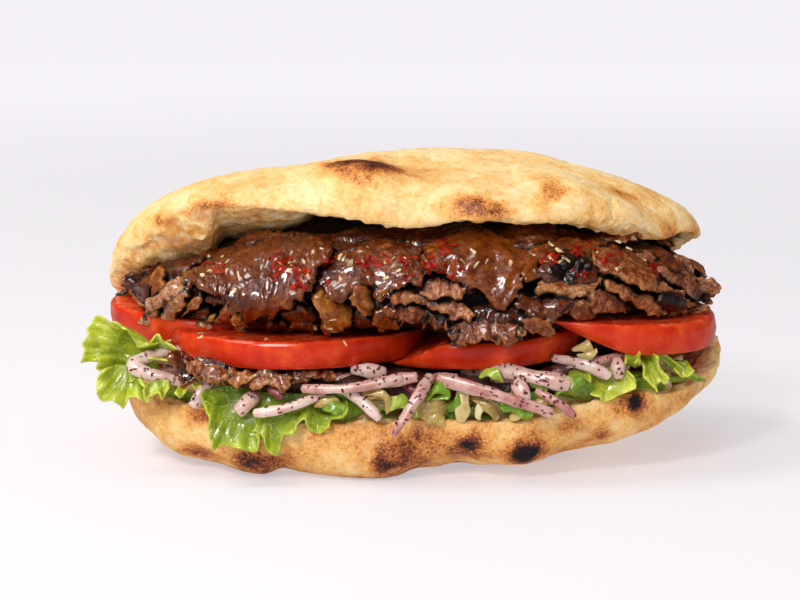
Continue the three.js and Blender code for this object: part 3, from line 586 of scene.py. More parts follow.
# Larger pieces along the open edge: both ends, bow, width, twist, cup and ripple.
EDGE_CABBAGE = (
    ((5, -54, 20.4), (13, -53, 22.4), (0, -1.5, 1), 5.0, 0.6, 0.6, 0.5),
    ((7, -55, 18.6), (12.6, -55, 18.8), (0, -1, 0.6), 3.2, 0, 0.4, 0.3),
    ((17.6, -54, 27), (17, -55, 18.2), (0.4, -1.5, 0), 4.0, 0.4, 0.5, 0.3),
    ((20, -53, 25), (27.4, -55, 18.6), (1, -2, 1), 2.6, 1.2, 0.6, 0.4),
    ((25, -54, 25.6), (22, -55, 18.8), (-1, -1, 0), 2.2, -0.8, 0.4, 0.4),
    ((31, -55, 19.2), (36.6, -55, 20.4), (0, -1, 0.8), 2.6, 0.5, 0.3, 0.3),
    ((-10.6, -54, 26), (-3.4, -55, 20.6), (2.4, -2, 3), 2.4, 1.4, 0.5, 0.4),
    ((-9, -54, 22), (-5, -55, 25), (-1, -1, 2), 1.8, -1.2, 0.3, 0.3),
    ((50, -43, 37), (55, -46, 36.4), (0, -2, 1.6), 3.6, 2.6, 1.2, 0.3),
    ((51, -45, 34.6), (56, -47, 37.4), (0, -1, -0.6), 2.8, -1.4, 0.8, 0.3),
    ((36, -55, 22.4), (44, -54, 24.6), (0, -1, 0.6), 2.4, 0.9, 0.4, 0.4),
    ((-24, -55, 22.6), (-17, -55, 24), (0, -1, 1), 2.0, 1.2, 0.4, 0.4),
)
EDGE_GREENS = (
    ((28, -54, 24), (37.4, -56, 20.4), (0, -2, 1), 4.6, 0.8, 0.9, 0.8),
    ((7.4, -53, 25), (14.2, -54, 26), (0, -2, 2.6), 3.6, 1.6, 0.6, 0.9),
    ((22.8, -51, 31), (29, -53, 29), (0, -2, 2.2), 3.2, 1.8, 0.5, 0.8),
    ((43.4, -54, 25), (50, -53, 28.6), (0, -2, 3), 3.0, 2.0, 0.6, 0.9),
    ((46, -53, 29.6), (54, -52, 26.4), (0, -2, 1), 4.6, 1.0, 0.8, 0.8),
    ((-21.6, -54, 24.4), (-15.4, -56, 20), (0, -2, 1), 4.6, 1.0, 0.8, 0.9),
    ((-4.4, -53, 22), (2.4, -54, 23.4), (0, -2, 1.4), 4.0, 0.9, 0.8, 0.8),
    ((13, -54, 22), (17, -54, 26), (1, -2, 0), 2.6, 1.4, 0.6, 0.8),
    ((36.6, -53, 30), (41, -54, 26), (1, -1, 0), 2.8, 1.4, 0.5, 0.8),
)
for kind, pieces in ((cabbage, EDGE_CABBAGE), (greens, EDGE_GREENS)):
    kind += [ribbon(*spec, 0.6, 22, 5, 300 + i) for i, spec in enumerate(pieces)]


def thicken(piece, thick):
    """Gives a sheet its thickness in millimetres and rounds its edges."""
    apply_modifier(piece, "SOLIDIFY", thickness=thick * MM, offset=0)
    apply_modifier(piece, "SUBSURF", levels=1, render_levels=1)


def loose_shreds(name, strips, thick):
    """The strips as one piece, each with its own shade."""
    for strip in strips:
        set_attribute(strip, "shade", random.random())
    shreds = join(strips)
    shreds.name = name
    thicken(shreds, thick)
    return shreds


cabbage_shreds = loose_shreds("cabbage_shreds", cabbage, CABBAGE_THICKNESS)
lettuce_shreds = loose_shreds("lettuce_shreds", greens, LETTUCE_THICKNESS)


def vein_lines(tree, pattern, wide, strength):
    """Thin lines where a pattern passes through its middle value."""
    off_middle = arithmetic(tree, "ABSOLUTE", arithmetic(tree, "SUBTRACT", pattern, 0.5))
    return spread(tree, off_middle, 0.0, wide, strength, 0)


def leafy_material(name, dark, middle, light, vein, soft):
    """Wet leaf: a mottled colour with paler veins, a waxy skin and light passing through."""
    material, tree, shader, place = new_material(name)
    patches = noise(tree, place, 7, 3, 0.6, 0.6)
    fine = noise(tree, place, 1.3, 3, 0.6)
    value = arithmetic(tree, "MULTIPLY_ADD", fine, 0.3, arithmetic(tree, "MULTIPLY", patches, 0.8))
    value = arithmetic(tree, "MULTIPLY_ADD", attribute(tree, "shade"), 0.5, value)
    colour = ramp(tree, value, (0.45, dark), (0.75, middle), (1.0, light))
    rib = vein_lines(tree, noise(tree, place, 2.8, 2, 0.5, 1.2), 0.035, vein)
    colour = blend(tree, rib, colour, light)
    tree.links.new(colour, shader.inputs["Base Color"])
    set_inputs(shader, {"Roughness": 0.32, "Coat Weight": 0.25, "Coat Roughness": 0.15})
    add_softness(shader, soft, 2.0, (0.7, 1.0, 0.2))
    height = arithmetic(tree, "MULTIPLY_ADD", rib, 1.2, arithmetic(tree, "MULTIPLY", patches, 0.8))
    add_bump(tree, shader, height, 0.35, 0.6)
    return material


white_leaf = leafy_material("cut_cabbage", (136, 100, 30), (190, 162, 88), (228, 212, 156), 0.4, 0.3)
green_leaf = leafy_material("cut_lettuce", (58, 92, 14), (128, 168, 28), (196, 214, 92), 0.4, 0.25)
# The packed bed is painted dark, as the shade in the gaps between the loose shreds.
packed_salad_painted_shade = leafy_material("packed_salad_painted_shade", (40, 44, 10), (96, 110, 30), (170, 168, 90), 0.3, 0.1)
cabbage_shreds.data.materials.append(white_leaf)
lettuce_shreds.data.materials.append(green_leaf)
bed.data.materials.append(packed_salad_painted_shade)
set_attribute(bed, "shade", 0)
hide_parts("salad_bed")
for piece in (bed, cabbage_shreds, lettuce_shreds):
    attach(piece, "root")

# ------------------------
# Curly lettuce: three thin leaves with toothed, ruffled margins.
# One stands out at the left end, one hangs over the front rim and one lies along the rim at the right.
# ------------------------
LEAF_THICKNESS = 0.7
FRONT_LEAF_DARKER = 0.4


def front_rim(x):
    """Depth and height of the lower loaf's front rim at some x."""
    across = np.clip((x - LOWER_LOAF["centre"][0]) / LOWER_LOAF["half"][0], -0.98, 0.98)
    angle = -np.arctan2((1 - np.abs(across) ** LOWER_LOAF["plan"]) ** (1 / LOWER_LOAF["plan"]), across)
    return oval(LOWER_LOAF, angle, 1, 0)[1], ring_value(LOWER_LOAF["rims"], angle % (2 * np.pi))


def grow_leaf(name, columns, rows, shape):
    """A leaf from its root at row 0 to its margin, which is the lighter part."""
    leaf = shaped_grid(name, columns, rows, shape)
    from_root = np.repeat(np.linspace(0, 1, rows + 1), columns + 1)
    set_attribute(leaf, "shade", 0.9 * from_root ** 1.5 - (FRONT_LEAF_DARKER if "front" in name else 0))
    thicken(leaf, LEAF_THICKNESS)
    return leaf


def surface_tree(*pieces):
    """The faces of some pieces in millimetres, for finding what lies near or in the way."""
    points, faces = [], []
    for piece in pieces:
        start = sum(map(len, points))
        faces += [[start + i for i in face.vertices] for face in piece.data.polygons]
        points.append(coordinates(piece))
    return BVHTree.FromPolygons([Vector(p) for p in np.vstack(points)], faces)


loaf_tree = surface_tree(loaf)


def leaf_sheet(name, margin, root, depth, ruffle, curl, hug, seed, fine=0.55):
    """A ruffled piece of leaf between its margin and its root, both given as x and z.

    Depth is y at the root and at the margin, hug its gap to the loaf, and fine the size of its faces.
    """
    margin, root = np.array(margin, float), np.array(root, float)
    along, root_along = (np.concatenate([[0], np.cumsum(np.hypot(*np.diff(line, axis=0).T))])
                         for line in (margin, root))
    columns = max(16, round(along[-1] / fine))
    rows = max(8, round(np.hypot(*(margin.mean(0) - root.mean(0))) * 1.4 / fine))

    def shape(u, v):
        t, far = (u + 1) / 2, (v + 1) / 2
        arc = t * along[-1]
        edge = np.stack([np.interp(arc, along, margin[:, k]) for k in (0, 1)], 1)
        foot = np.stack([np.interp(t * root_along[-1], root_along, root[:, k]) for k in (0, 1)], 1)
        flat = foot + (edge - foot) * far[:, None]
        spot = np.stack([flat[:, 0], np.full(len(t), seed * 17.0), flat[:, 1]], 1)
        wander = 2.2 * lumps(spot, 7, 26)
        wave = 1.5 * np.sin(arc / 1.25 + wander + 1.5 * far) + 0.8 * np.sin(arc / 0.62 + 2 * wander)
        wave *= far ** 2.2
        blister = 1.6 * lumps(spot, 5.5, 27) + 0.8 * lumps(spot, 2.4, 28)
        y = depth[0] + (depth[1] - depth[0]) * far - ruffle * wave - curl * blister * (0.35 + 0.65 * far)
        if hug:
            for k, (x, z) in enumerate(flat):
                rim_z = front_rim(x)[1]
                near = loaf_tree.ray_cast(Vector((x, -90, min(z, rim_z - 1))), Vector((0, 1, 0)))[0]
                if near is not None and z < rim_z + 1:
                    y[k] = min(y[k], near.y - hug)
        return np.stack([flat[:, 0] + 0.3 * ruffle * wave * far, y,
                         flat[:, 1] + 0.35 * ruffle * wave * far], 1)
    return grow_leaf(name, columns, rows, shape)


hanging_leaf = leaf_sheet(
    "lettuce_front_leaf",
    ((-56.5, 26), (-55.5, 25.2), (-53.6, 20.1), (-53.5, 14.7), (-52.8, 9.9), (-51.3, 11), (-49.6, 11.7),
     (-47.4, 11.3), (-45.4, 10.8), (-42.6, 10.3), (-40.1, 10.2), (-39.9, 13), (-41.6, 15.6), (-39.9, 15.3),
     (-38.9, 14.1), (-37.7, 11.1), (-36.2, 9.3), (-34.6, 8.5), (-33.9, 11.7), (-33, 14.7), (-31.2, 14.7),
     (-29.5, 14.7), (-29.2, 17.7), (-28.1, 19), (-27.1, 19.5), (-25.4, 16.5), (-24, 15.6), (-22.4, 14.7),
     (-20.3, 17.1), (-19, 19.5), (-15.9, 20.1), (-14.6, 22.5)),
    ((-54, 27.5), (-46, 27), (-40, 25.5), (-30, 25), (-22, 24.5), (-15, 25)), (-48, -57), 0.55, 0.9, 1.3, 1,
    0.6)
standing_leaf = leaf_sheet(
    "lettuce_left_leaf",
    ((-66, 38), (-72, 37), (-75.5, 36.2), (-76.9, 38.5), (-78.8, 40.3), (-79.9, 42.6), (-81.4, 44.2),
     (-84.1, 43.5), (-85.4, 44.4), (-87.6, 45.3), (-88.7, 43.2), (-90.5, 41.5), (-90.2, 39), (-91.6, 37.4),
     (-91, 35), (-92.5, 31.5), (-89.9, 33), (-88, 33.9), (-87.4, 31.6), (-88, 29.8), (-86.4, 28.9),
     (-84.1, 26.3), (-80, 26), (-75, 26.5)), ((-67, 35), (-70, 33), (-71, 30), (-70, 28)), (-30, -38), 1.15,
    1.5, 0, 2)
folded_leaf = leaf_sheet(
    "lettuce_folded_leaf",
    ((-84, 31), (-86.4, 28.9), (-87.1, 25.8), (-87.4, 23.6), (-86, 22), (-85.2, 20.9), (-83.4, 21.6),
     (-81.8, 20.5), (-80.4, 20.3), (-79.2, 19), (-78.6, 21), (-77.6, 22.4), (-76.3, 22.6), (-74, 21.4),
     (-71.7, 21), (-72.4, 23.3), (-73.4, 25.5), (-75, 28)), ((-82, 31), (-79, 31), (-76, 30), (-74, 29)),
    (-38, -43), 0.8, 0.9, 0, 3)
# Scraps of leaf: margin, root, depth, ruffle, curl, hug and seed.
LEFT_SCRAPS = (
    (((-74, 37.2), (-71.8, 37.8), (-70.6, 39.6), (-69.6, 40.6), (-68.6, 38.6), (-66, 37.4), (-64, 36)),
     ((-73, 36), (-66, 34.5)), (-35, -39), 0.4, 0.5, 0, 4),
    (((-72.6, 34), (-69, 33.6), (-65.6, 33), (-63, 32.2)), ((-71, 32.6), (-64, 31.4)), (-38, -42), 0.3, 0.3,
     0, 5),
    (((-64, 25.6), (-62, 24), (-60.8, 25.8), (-59.6, 29), (-57.6, 27), (-55.6, 28)), ((-62, 28), (-58, 30)),
     (-46, -52), 0.5, 0.6, 0, 6),
    (((-73.4, 25.4), (-72.6, 23.2), (-70.4, 24.2), (-68.8, 25), (-67.6, 22.4), (-66.6, 25), (-65.4, 26.4)),
     ((-72, 27.4), (-66, 28)), (-44, -48), 0.8, 0.8, 0, 7),
)
RIGHT_SCRAPS = (
    (((52.4, 29), (52.9, 27.1), (54, 25.3), (56.3, 24.2), (57.4, 22.8), (59.7, 23.8), (61.9, 24.9),
      (64.2, 25.8), (66.4, 27), (67.2, 29), (65.6, 30.9)), ((53.5, 30), (58, 31.6), (63, 32.4)), (-44, -52),
     0.7, 0.9, 0.8, 8),
    (((68.6, 32.5), (69.8, 29.4), (70.6, 28.4), (71.8, 26.8), (72.7, 24.6), (73.5, 27.2), (74.5, 28.2),
      (75.6, 26.8), (76, 28.8), (74.4, 30.6), (73.4, 33.4), (72.3, 35.4)), ((69.4, 34.4), (71.4, 36)),
     (-40, -47), 0.8, 0.8, 0.8, 9),
    (((47, 29), (48.7, 27.6), (51, 26.8), (53, 28), (54.2, 30.4)), ((48, 31), (53, 32)), (-47, -52), 0.6, 0.6,
     0, 10),
    (((78, 31), (79.6, 28.6), (81.2, 27.6), (83, 27.8), (84.4, 29.6)), ((79, 32), (83, 32)), (-36, -40), 0.5,
     0.5, 0.8, 11),
    (((63.6, 33), (64.6, 36.4), (66.6, 38), (68.4, 36.4), (68.8, 32.6), (67.4, 34.6), (66.4, 33)),
     ((64.6, 32), (67.6, 31.4)), (-43, -46), 0.5, 0.6, 0, 12),
)
left_scraps = [leaf_sheet("scrap", *scrap) for scrap in LEFT_SCRAPS]
right_scraps = [leaf_sheet("scrap", *scrap) for scrap in RIGHT_SCRAPS]


def blade(u, v):
    """A narrow leaf that slopes down along the rim to the right end."""
    far = (u + 1) / 2
    x = 67 + 22.5 * far
    rim_y = front_rim(np.minimum(x, 90))[0]
    middle = np.stack([x, rim_y + 4 - 5.5 * far, 37.6 - 13.5 * far ** 1.25 + 0.8 * np.sin(7 * far)], 1)
    width = 1.7 * (1 - far) ** 0.6 + 0.2 + 0.3 * np.sin(9 * far + 1)
    wave = 0.5 * np.sin(14 * far + 2 * v)
    return middle + np.stack([0.3 * v * width, -0.6 * np.abs(v) * width + wave, v * width * 0.9], 1)


leaf_paint, tree, shader, place = new_material("curly_lettuce")
patches = noise(tree, place, 6, 3, 0.6, 0.5)
shade = arithmetic(tree, "MULTIPLY", patches, 0.75)
shade = arithmetic(tree, "MULTIPLY_ADD", attribute(tree, "shade"), 0.45, shade)
leaf_colour = ramp(tree, shade, (0.22, (96, 120, 9)), (0.48, (148, 166, 18)), (0.7, (190, 200, 50)),
                   (0.95, (226, 228, 110)))
vein = vein_lines(tree, noise(tree, place, 4.2, 3, 0.5, 1.6), 0.03, 1)
leaf_colour = blend(tree, arithmetic(tree, "MULTIPLY", vein, 0.55), leaf_colour, (220, 232, 140))
tree.links.new(leaf_colour, shader.inputs["Base Color"])
set_inputs(shader, {"Roughness": 0.34, "Coat Weight": 0.3, "Coat Roughness": 0.12})
add_softness(shader, 0.35, 2.5, (0.8, 1.0, 0.15))
crinkle = noise(tree, place, 2.2, 2, 0.5)
crinkle = arithmetic(tree, "MULTIPLY_ADD", crinkle, 0.9, arithmetic(tree, "MULTIPLY", vein, -0.7))
add_bump(tree, shader, crinkle, 0.45, 0.7)

leaves = {"lettuce_front": [hanging_leaf], "lettuce_left": [standing_leaf, folded_leaf] + left_scraps,
          "lettuce_right": right_scraps + [grow_leaf("blade", 60, 8, blade)]}
for name, grown in leaves.items():
    leaf = join(grown)
    leaf.name = name + "_leaf"
    leaf.data.materials.append(leaf_paint)
    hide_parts(name)
    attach(leaf, "root")

# ------------------------
# Sumac onions: red onion cut into curved strips, soft and pinkish white, dusted with dark red sumac flakes.
# The strips lie on a packed layer in painted shade; each is a rounded bar bent from end to end.
# ------------------------
ONION_LAYER = dict(centre=(5, -7), half=(77, 45), bottom=21.2, top=30.8)
# The oval that the loose strips lie along.
STRIP_LINE = dict(centre=(5, -7), half=(80, 44))
# Strips: both ends, how far the middle bows out, how wide and how much they are stained.
ONION_STRIPS = (
    ((-62, -34, 35.6), (-62, -42, 26.6), (-14.5, -2, 0.6), 3.8, 0.9),
    ((-52, -45, 28.6), (-58.4, -53.5, 21.8), (0, -2, 1.2), 3.8, 0.9),
    ((-41, -48, 25.4), (-46, -54.5, 20.8), (1, -2, 0.8), 4.4, 0.8),
    ((-41.4, -57, 21.2), (-21, -53.5, 26.4), (0, -2, -0.8), 3.0, 1.0),
    ((-28, -55, 27.6), (1, -55, 31), (0, -2.4, -1.0), 2.9, 0.6),
    ((-16.5, -52, 27), (-5.4, -58.5, 19.4), (1, -1, 0.6), 3.0, 1.1),
    ((-14, -47, 31.4), (-4, -50, 31.2), (0, -2, 0.6), 4.0, 1.0),
    ((-5, -52, 28.2), (5, -54, 31), (0, -1, 0.4), 3.4, 0.6),
    ((8.8, -53, 31.4), (-2.6, -61.5, 15.4), (0.8, -1.8, 1.4), 3.4, 0.5),
    ((10, -54, 30.4), (43.4, -58.5, 21.2), (0, -2.2, 0.8), 3.7, 0.5),
    ((22, -46, 33), (48, -55, 29), (1, -3.5, 0.4), 4.7, 0.8),
    ((38, -55, 27.4), (49.4, -58.5, 20.6), (0, -1.5, 0.8), 2.6, 0.5),
    ((43, -44, 34.2), (59.4, -50.5, 30), (1, -3, 1.2), 3.2, 1.0),
    ((51.5, -46, 33.6), (67.5, -40, 35.6), (0, -2, -0.2), 2.7, 0.4),
    ((61.4, -47, 35), (62.2, -48.5, 29.6), (0, -1.2, 0), 3.6, 0.6),
    ((32, -55.5, 30), (34.6, -57.5, 24), (1, -1.5, 0), 4.6, 0.9),
    ((-37, -50, 27), (-33, -53, 24.6), (0, -1, 0.4), 2.6, 0.0),
    ((1, -51, 27.6), (5.6, -53, 25), (0, -1, 0.4), 2.6, 0.0),
)


def set_grain(piece, layout):
    """Notes down where each point lies along and across the fibres."""
    grain = piece.data.attributes.new("grain", "FLOAT_VECTOR", "POINT")
    grain.data.foreach_set("vector", layout.ravel())


def grain_pattern(tree, stretch, **look):
    """A noise that is drawn out along the fibres."""
    layout = add_node(tree, "ShaderNodeAttribute", (-1600, 300), attribute_name="grain")
    drawn_out = add_node(tree, "ShaderNodeMapping", (-1400, 300))
    drawn_out.inputs["Scale"].default_value = stretch
    tree.links.new(layout.outputs["Vector"], drawn_out.inputs["Vector"])
    fibres = add_node(tree, "ShaderNodeTexNoise", (-1200, 300))
    set_inputs(fibres, look)
    tree.links.new(drawn_out.outputs["Vector"], fibres.inputs["Vector"])
    return fibres.outputs["Fac"]


def onion_strip(start, end, bow, wide, tint, seed):
    """A closed bar: its cross-section is a flattened oval and both ends are cut off blunt."""
    start, end, bow = (np.asarray(v, float) for v in (start, end, bow))
    run = end - start
    front = np.array((0, -1, 0.35 + 0.5 * math.sin(seed * 2.3)))

    def shape(u, v):
        t = u / 2 + 0.5
        ring = v * np.pi
        end_cap = np.clip((1 - np.abs(u)) * 30, 0, 1) ** 0.3
        across, through = np.cos(ring), np.sin(ring)
        oval_size = (np.abs(across) ** 4 + np.abs(through) ** 4) ** (-1 / 4) * end_cap
        taper = 1 - 0.25 * np.abs(u) ** 3 + 0.08 * np.sin(4 * u + seed)
        points = start + run * t[:, None] + bow * np.sin(np.pi * t)[:, None]
        tangent = run + bow * (np.pi * np.cos(np.pi * t))[:, None]
        tangent /= np.linalg.norm(tangent, axis=1, keepdims=True)
        face = front - tangent * (tangent @ front)[:, None]
        face /= np.linalg.norm(face, axis=1, keepdims=True)
        broad = np.cross(tangent, face)
        hollow = -0.6 * across ** 2
        return (points + broad * (across * oval_size * wide / 2 * taper)[:, None]
                + face * ((through * 0.85 + hollow) * oval_size * taper)[:, None])
    columns, rows = 40, 18
    bar = shaped_grid("onion_bar", columns, rows, shape)
    set_attribute(bar, "tint", tint)
    along, across = np.meshgrid(np.linspace(-1, 1, columns + 1), np.linspace(-1, 1, rows + 1))
    lines = (along.ravel() * 12, np.cos(across.ravel() * np.pi) * wide / 2, np.full(along.size, seed * 9.0))
    set_grain(bar, np.stack(lines, 1))
    return bar


random = np.random.default_rng(3)
strips = [onion_strip(*spec, i + 1) for i, spec in enumerate(ONION_STRIPS)]
for i in range(46):
    x = random.uniform(-66, 72)
    across = (x - STRIP_LINE["centre"][0]) / STRIP_LINE["half"][0]
    side = 1 if i % 3 == 0 else -1
    reach = STRIP_LINE["half"][1] * math.sqrt(1 - across * across) - random.uniform(1, 8)
    y = STRIP_LINE["centre"][1] + side * reach
    z = random.uniform(24.5, 30) + 3 * max(0, x / 70) ** 2
    half = np.array([random.uniform(4, 9), random.uniform(-3, 3), random.uniform(-3, 3)])
    strips.append(onion_strip((x, y, z) - half, (x, y, z) + half, (0, side * 1.5, 1),
                              random.uniform(2.4, 3.8), random.uniform(0, 0.9), 20 + i))
onions = join(strips)
onions.name = "onion_strips"
face_outwards(onions)
points, facing = coordinates(onions), normals(onions)
set_coordinates(onions, points + facing * (0.2 * lumps(points, 3, 31) + 0.3 * lumps(points, 7, 32))[:, None])

layer = cushion("onion_layer", **ONION_LAYER, relief=0.9)

onion_paint, tree, shader, place = new_material("sumac_onion")
threads = grain_pattern(tree, (0.1, 1.5, 1), Scale=1, Detail=2)
patches = noise(tree, place, 6, 3, 0.6)
value = arithmetic(tree, "MULTIPLY_ADD", threads, 0.25, arithmetic(tree, "MULTIPLY", patches, 0.7))
value = arithmetic(tree, "MULTIPLY_ADD", attribute(tree, "tint"), 0.36, value)
onion_colour = ramp(tree, value, (0.42, (134, 52, 66)), (0.56, (180, 118, 110)), (0.72, (210, 168, 152)),
                    (0.9, (226, 202, 190)))
stain = spread(tree, noise(tree, place, 4.5, 3, 0.6), 0.58, 0.78, 0, 0.45)
onion_colour = blend(tree, stain, onion_colour, (158, 64, 78))
specks = noise(tree, place, 0.75, 2, 0.6)
speck = spread(tree, specks, 0.66, 0.7, 0, 0.85)
onion_colour = blend(tree, speck, onion_colour, (104, 22, 30))
tree.links.new(onion_colour, shader.inputs["Base Color"])
set_inputs(shader, {"Roughness": 0.33, "Coat Weight": 0.2, "Coat Roughness": 0.15})
add_softness(shader, 0.3, 2.0, (1.0, 0.6, 0.5))
add_bump(tree, shader, threads, 0.3, 0.5)
onions.data.materials.append(onion_paint)
# The packed layer is painted dark, as the shade in the gaps between the loose strips.
layer_paint = leafy_material("packed_onion_painted_shade", (40, 16, 12), (90, 48, 38), (156, 108, 92), 0.3, 0.1)
set_attribute(layer, "shade", 0)
layer.data.materials.append(layer_paint)


def scatter_flakes(name, spots, size, seed):
    """Small flat crooked flakes, their size given as long, wide and thick.

    Spots are places with the facing of what they lie on.
    """
    random = np.random.default_rng(seed)
    bpy.ops.object.select_all(action="DESELECT")
    bpy.ops.mesh.primitive_ico_sphere_add(subdivisions=1, radius=0.5)
    flake = bpy.context.object
    unit = coordinates(flake) * MM
    faces = [tuple(p.vertices) for p in flake.data.polygons]
    bpy.data.objects.remove(flake)
    made_points, made_faces = [], []
    for place, facing in spots:
        facing = Vector(facing).normalized()
        side = facing.orthogonal().normalized()
        side = Matrix.Rotation(random.uniform(0, 2 * math.pi), 3, facing) @ side
        other = facing.cross(side)
        lean = Matrix.Rotation(random.uniform(-0.5, 0.5), 3, side)
        grow = random.uniform(0.55, 1.35, 3) * size
        local = unit * grow * (1 + 0.35 * random.standard_normal((len(unit), 1)).clip(-1, 1))
        turned = np.array([tuple(lean @ side), tuple(lean @ other), tuple(lean @ facing)])
        made_faces += [tuple(i + len(unit) * len(made_points) for i in face) for face in faces]
        made_points.append(local @ turned + np.asarray(place) + np.array(facing) * size[2] * 0.3)
    mesh = bpy.data.meshes.new(name)
    mesh.from_pydata((np.vstack(made_points) * MM).tolist(), [], made_faces)
    piece = bpy.data.objects.new(name, mesh)
    bpy.context.scene.collection.objects.link(piece)
    return piece


def random_spots(piece, count, seed, allowed):
    """Places on a piece's surface, spread by area times the weight that allowed(points, facing) gives."""
    random = np.random.default_rng(seed)
    mesh = piece.data
    centres, ways, areas = (np.empty(len(mesh.polygons) * n) for n in (3, 3, 1))
    mesh.polygons.foreach_get("center", centres)
    mesh.polygons.foreach_get("normal", ways)
    mesh.polygons.foreach_get("area", areas)
    centres, ways = centres.reshape(-1, 3) / MM, ways.reshape(-1, 3)
    weights = areas * allowed(centres, ways)
    picked = random.choice(len(areas), count, p=weights / weights.sum(), replace=False)
    return list(zip(centres[picked], ways[picked]))


def dusted(points, facing):
    """Sumac lies on all but the undersides, and mostly along the open side."""
    return (facing[:, 2] > -0.3) * (points[:, 2] > 16) * (1 + 5 * (points[:, 1] < -38))


def flake_material(name, size, stops, roughness=0.5, shine=0.5):
    material, tree, shader, place = new_material(name)
    tree.links.new(ramp(tree, noise(tree, place, size, 2), *stops), shader.inputs["Base Color"])
    set_inputs(shader, {"Roughness": roughness, "Specular IOR Level": shine})
    return material


SUMAC_FLAKE = (1.15, 0.7, 0.25)
sumac = scatter_flakes("sumac_flakes", random_spots(onions, 760, 5, dusted), SUMAC_FLAKE, 6)
sumac_colours = ((0.35, (70, 12, 20)), (0.65, (132, 30, 40)))
sumac.data.materials.append(flake_material("sumac", 1.5, sumac_colours, roughness=0.4))
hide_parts("onion_heap")
for piece in (onions, layer, sumac):
    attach(piece, "root")

# ------------------------
# Tomato: four thick slices of large ripe tomatoes, cut across and laid side by side on the onions.
# Each is a bevelled disc with slightly lobed sides; the skin is taut and glossy, the cut faces are wet.
# ------------------------
# Slices: middle, radius, thickness, lean forward and sideways in degrees, how much each narrows downwards,
# how far its foot is shifted sideways, how much its right shoulder bulges, and its thinner left side: how far
# it is raised from below (under 0: pressed down from above), from where and over what width.
TOMATOES = {
    "tomato_front_left": ((-30.5, -14.5, 36.0), 40, 8.2, -1, 0, 0.016, 0, 0, (0, 0, 1)),
    "tomato_right": ((55, -10.5, 40.4), 38.5, 9.2, 0, 3.1, 0.03, 3.2, 0.05, (7.6, 12, 22.5)),
    "tomato_middle": ((23.5, -20.3, 35.8), 31, 7.8, 0, -3, 0.02, 0, 0, (-6, -9.5, 14)),
    "tomato_back_left": ((-53.6, 0, 38.6), 34.4, 9, 0, 2, 0.016, 0, 0, (0, 0, 1)),
}
# The slices that were laid down before a slice and that it presses against.
TOMATO_NEIGHBOURS = {
    "tomato_front_left": (), "tomato_right": (), "tomato_middle": ("tomato_front_left", "tomato_right"),
    "tomato_back_left": ("tomato_front_left", "tomato_middle"),
}
CUT_EDGE_ROUNDING = 1.3
# Rings of faces on the cut faces, from the skin inwards.
INSETS = (1.5, 1.6, 1.7, 1.8, 2, 2.4, 4, 8)


def tomato_slice(name, middle, radius, thick, pitch, roll, narrow, slide, shoulders, wedge):
    """A bevelled disc with finely divided cut faces, bent to the form of a slice and stood in its place."""
    bpy.ops.object.select_all(action="DESELECT")
    bpy.ops.mesh.primitive_cylinder_add(vertices=144, radius=radius * MM, depth=thick * MM,
                                        end_fill_type="NGON")
    piece = bpy.context.object
    piece.name = piece.data.name = name + "_slice"
    bpy.ops.object.mode_set(mode="EDIT")
    bpy.ops.mesh.select_mode(type="FACE")
    bpy.ops.mesh.select_all(action="DESELECT")
    bpy.ops.object.mode_set(mode="OBJECT")
    for face in piece.data.polygons:
        face.select = abs(face.normal.z) > 0.9
    bpy.ops.object.mode_set(mode="EDIT")
    for step in INSETS:
        bpy.ops.mesh.inset(thickness=step * MM, depth=0)
    bpy.ops.mesh.poke()
    bpy.ops.object.mode_set(mode="OBJECT")
    points = coordinates(piece)
    rim = np.hypot(points[:, 0], points[:, 1]) > radius - 0.01
    for edge in piece.data.edges:
        edge.select = bool(rim[edge.vertices[0]] and rim[edge.vertices[1]]
                           and abs(points[edge.vertices[0], 2] - points[edge.vertices[1], 2]) < 0.01)
    for face in piece.data.polygons:
        face.select = False
    bpy.ops.object.mode_set(mode="EDIT")
    bpy.ops.mesh.select_mode(type="EDGE")
    bpy.ops.mesh.bevel(offset=CUT_EDGE_ROUNDING * MM, segments=5, profile=0.5, affect="EDGES")
    bpy.ops.mesh.select_all(action="SELECT")
    bpy.ops.mesh.quads_convert_to_tris()
    bpy.ops.mesh.subdivide(number_cuts=1)
    bpy.ops.object.mode_set(mode="OBJECT")
    points = coordinates(piece)
    angle, reach = np.arctan2(points[:, 1], points[:, 0]), np.hypot(points[:, 0], points[:, 1])
    lobes = 1 + 0.012 * np.cos(5 * angle + radius) + 0.008 * np.sin(3 * angle + middle[0])
    lobes += 0.003 * np.sin(9 * angle)
    height = points[:, 2] / (thick / 2)
    rim = np.clip(reach / radius, 0, 1) ** 8
    belly = 1 - 0.016 * rim * (height - 0.1) ** 2 - narrow * rim * np.clip(0.6 - height, 0, 2) ** 1.3
    points[:, :2] *= (lobes * belly)[:, None]
    shoulder = np.exp(-((angle + 0.75) / 0.38) ** 2) * rim * shoulders
    points[:, :2] *= (1 + shoulder)[:, None]
    points[:, 0] += slide * rim * np.clip(0.5 - height / 2, 0, 1)
    raised, start, over = wedge
    side = 1 if raised > 0 else -1
    thinned = raised * np.clip((start - points[:, 0]) / over, 0, 1) ** 1.2
    points[:, 2] += thinned * np.clip(0.5 - side * height / 2, 0, 1)
    flat = 1 - rim
    points[:, 2] += flat * np.sign(height) * (0.25 * lumps(points, 6, 41) + 0.12 * lumps(points, 2.4, 42))
    skin = np.clip(rim * (1 - np.clip((np.abs(height) - 0.8) / 0.16, 0, 1)), 0, 1)
    set_attribute(piece, "skin", np.where(reach > radius - 1.6, skin, 0))
    lean = Matrix.Rotation(math.radians(pitch), 3, "X") @ Matrix.Rotation(math.radians(roll), 3, "Y")
    set_coordinates(piece, points @ np.array(lean).T + middle)
    piece.data.polygons.foreach_set("use_smooth", np.ones(len(piece.data.polygons), bool))
    return piece


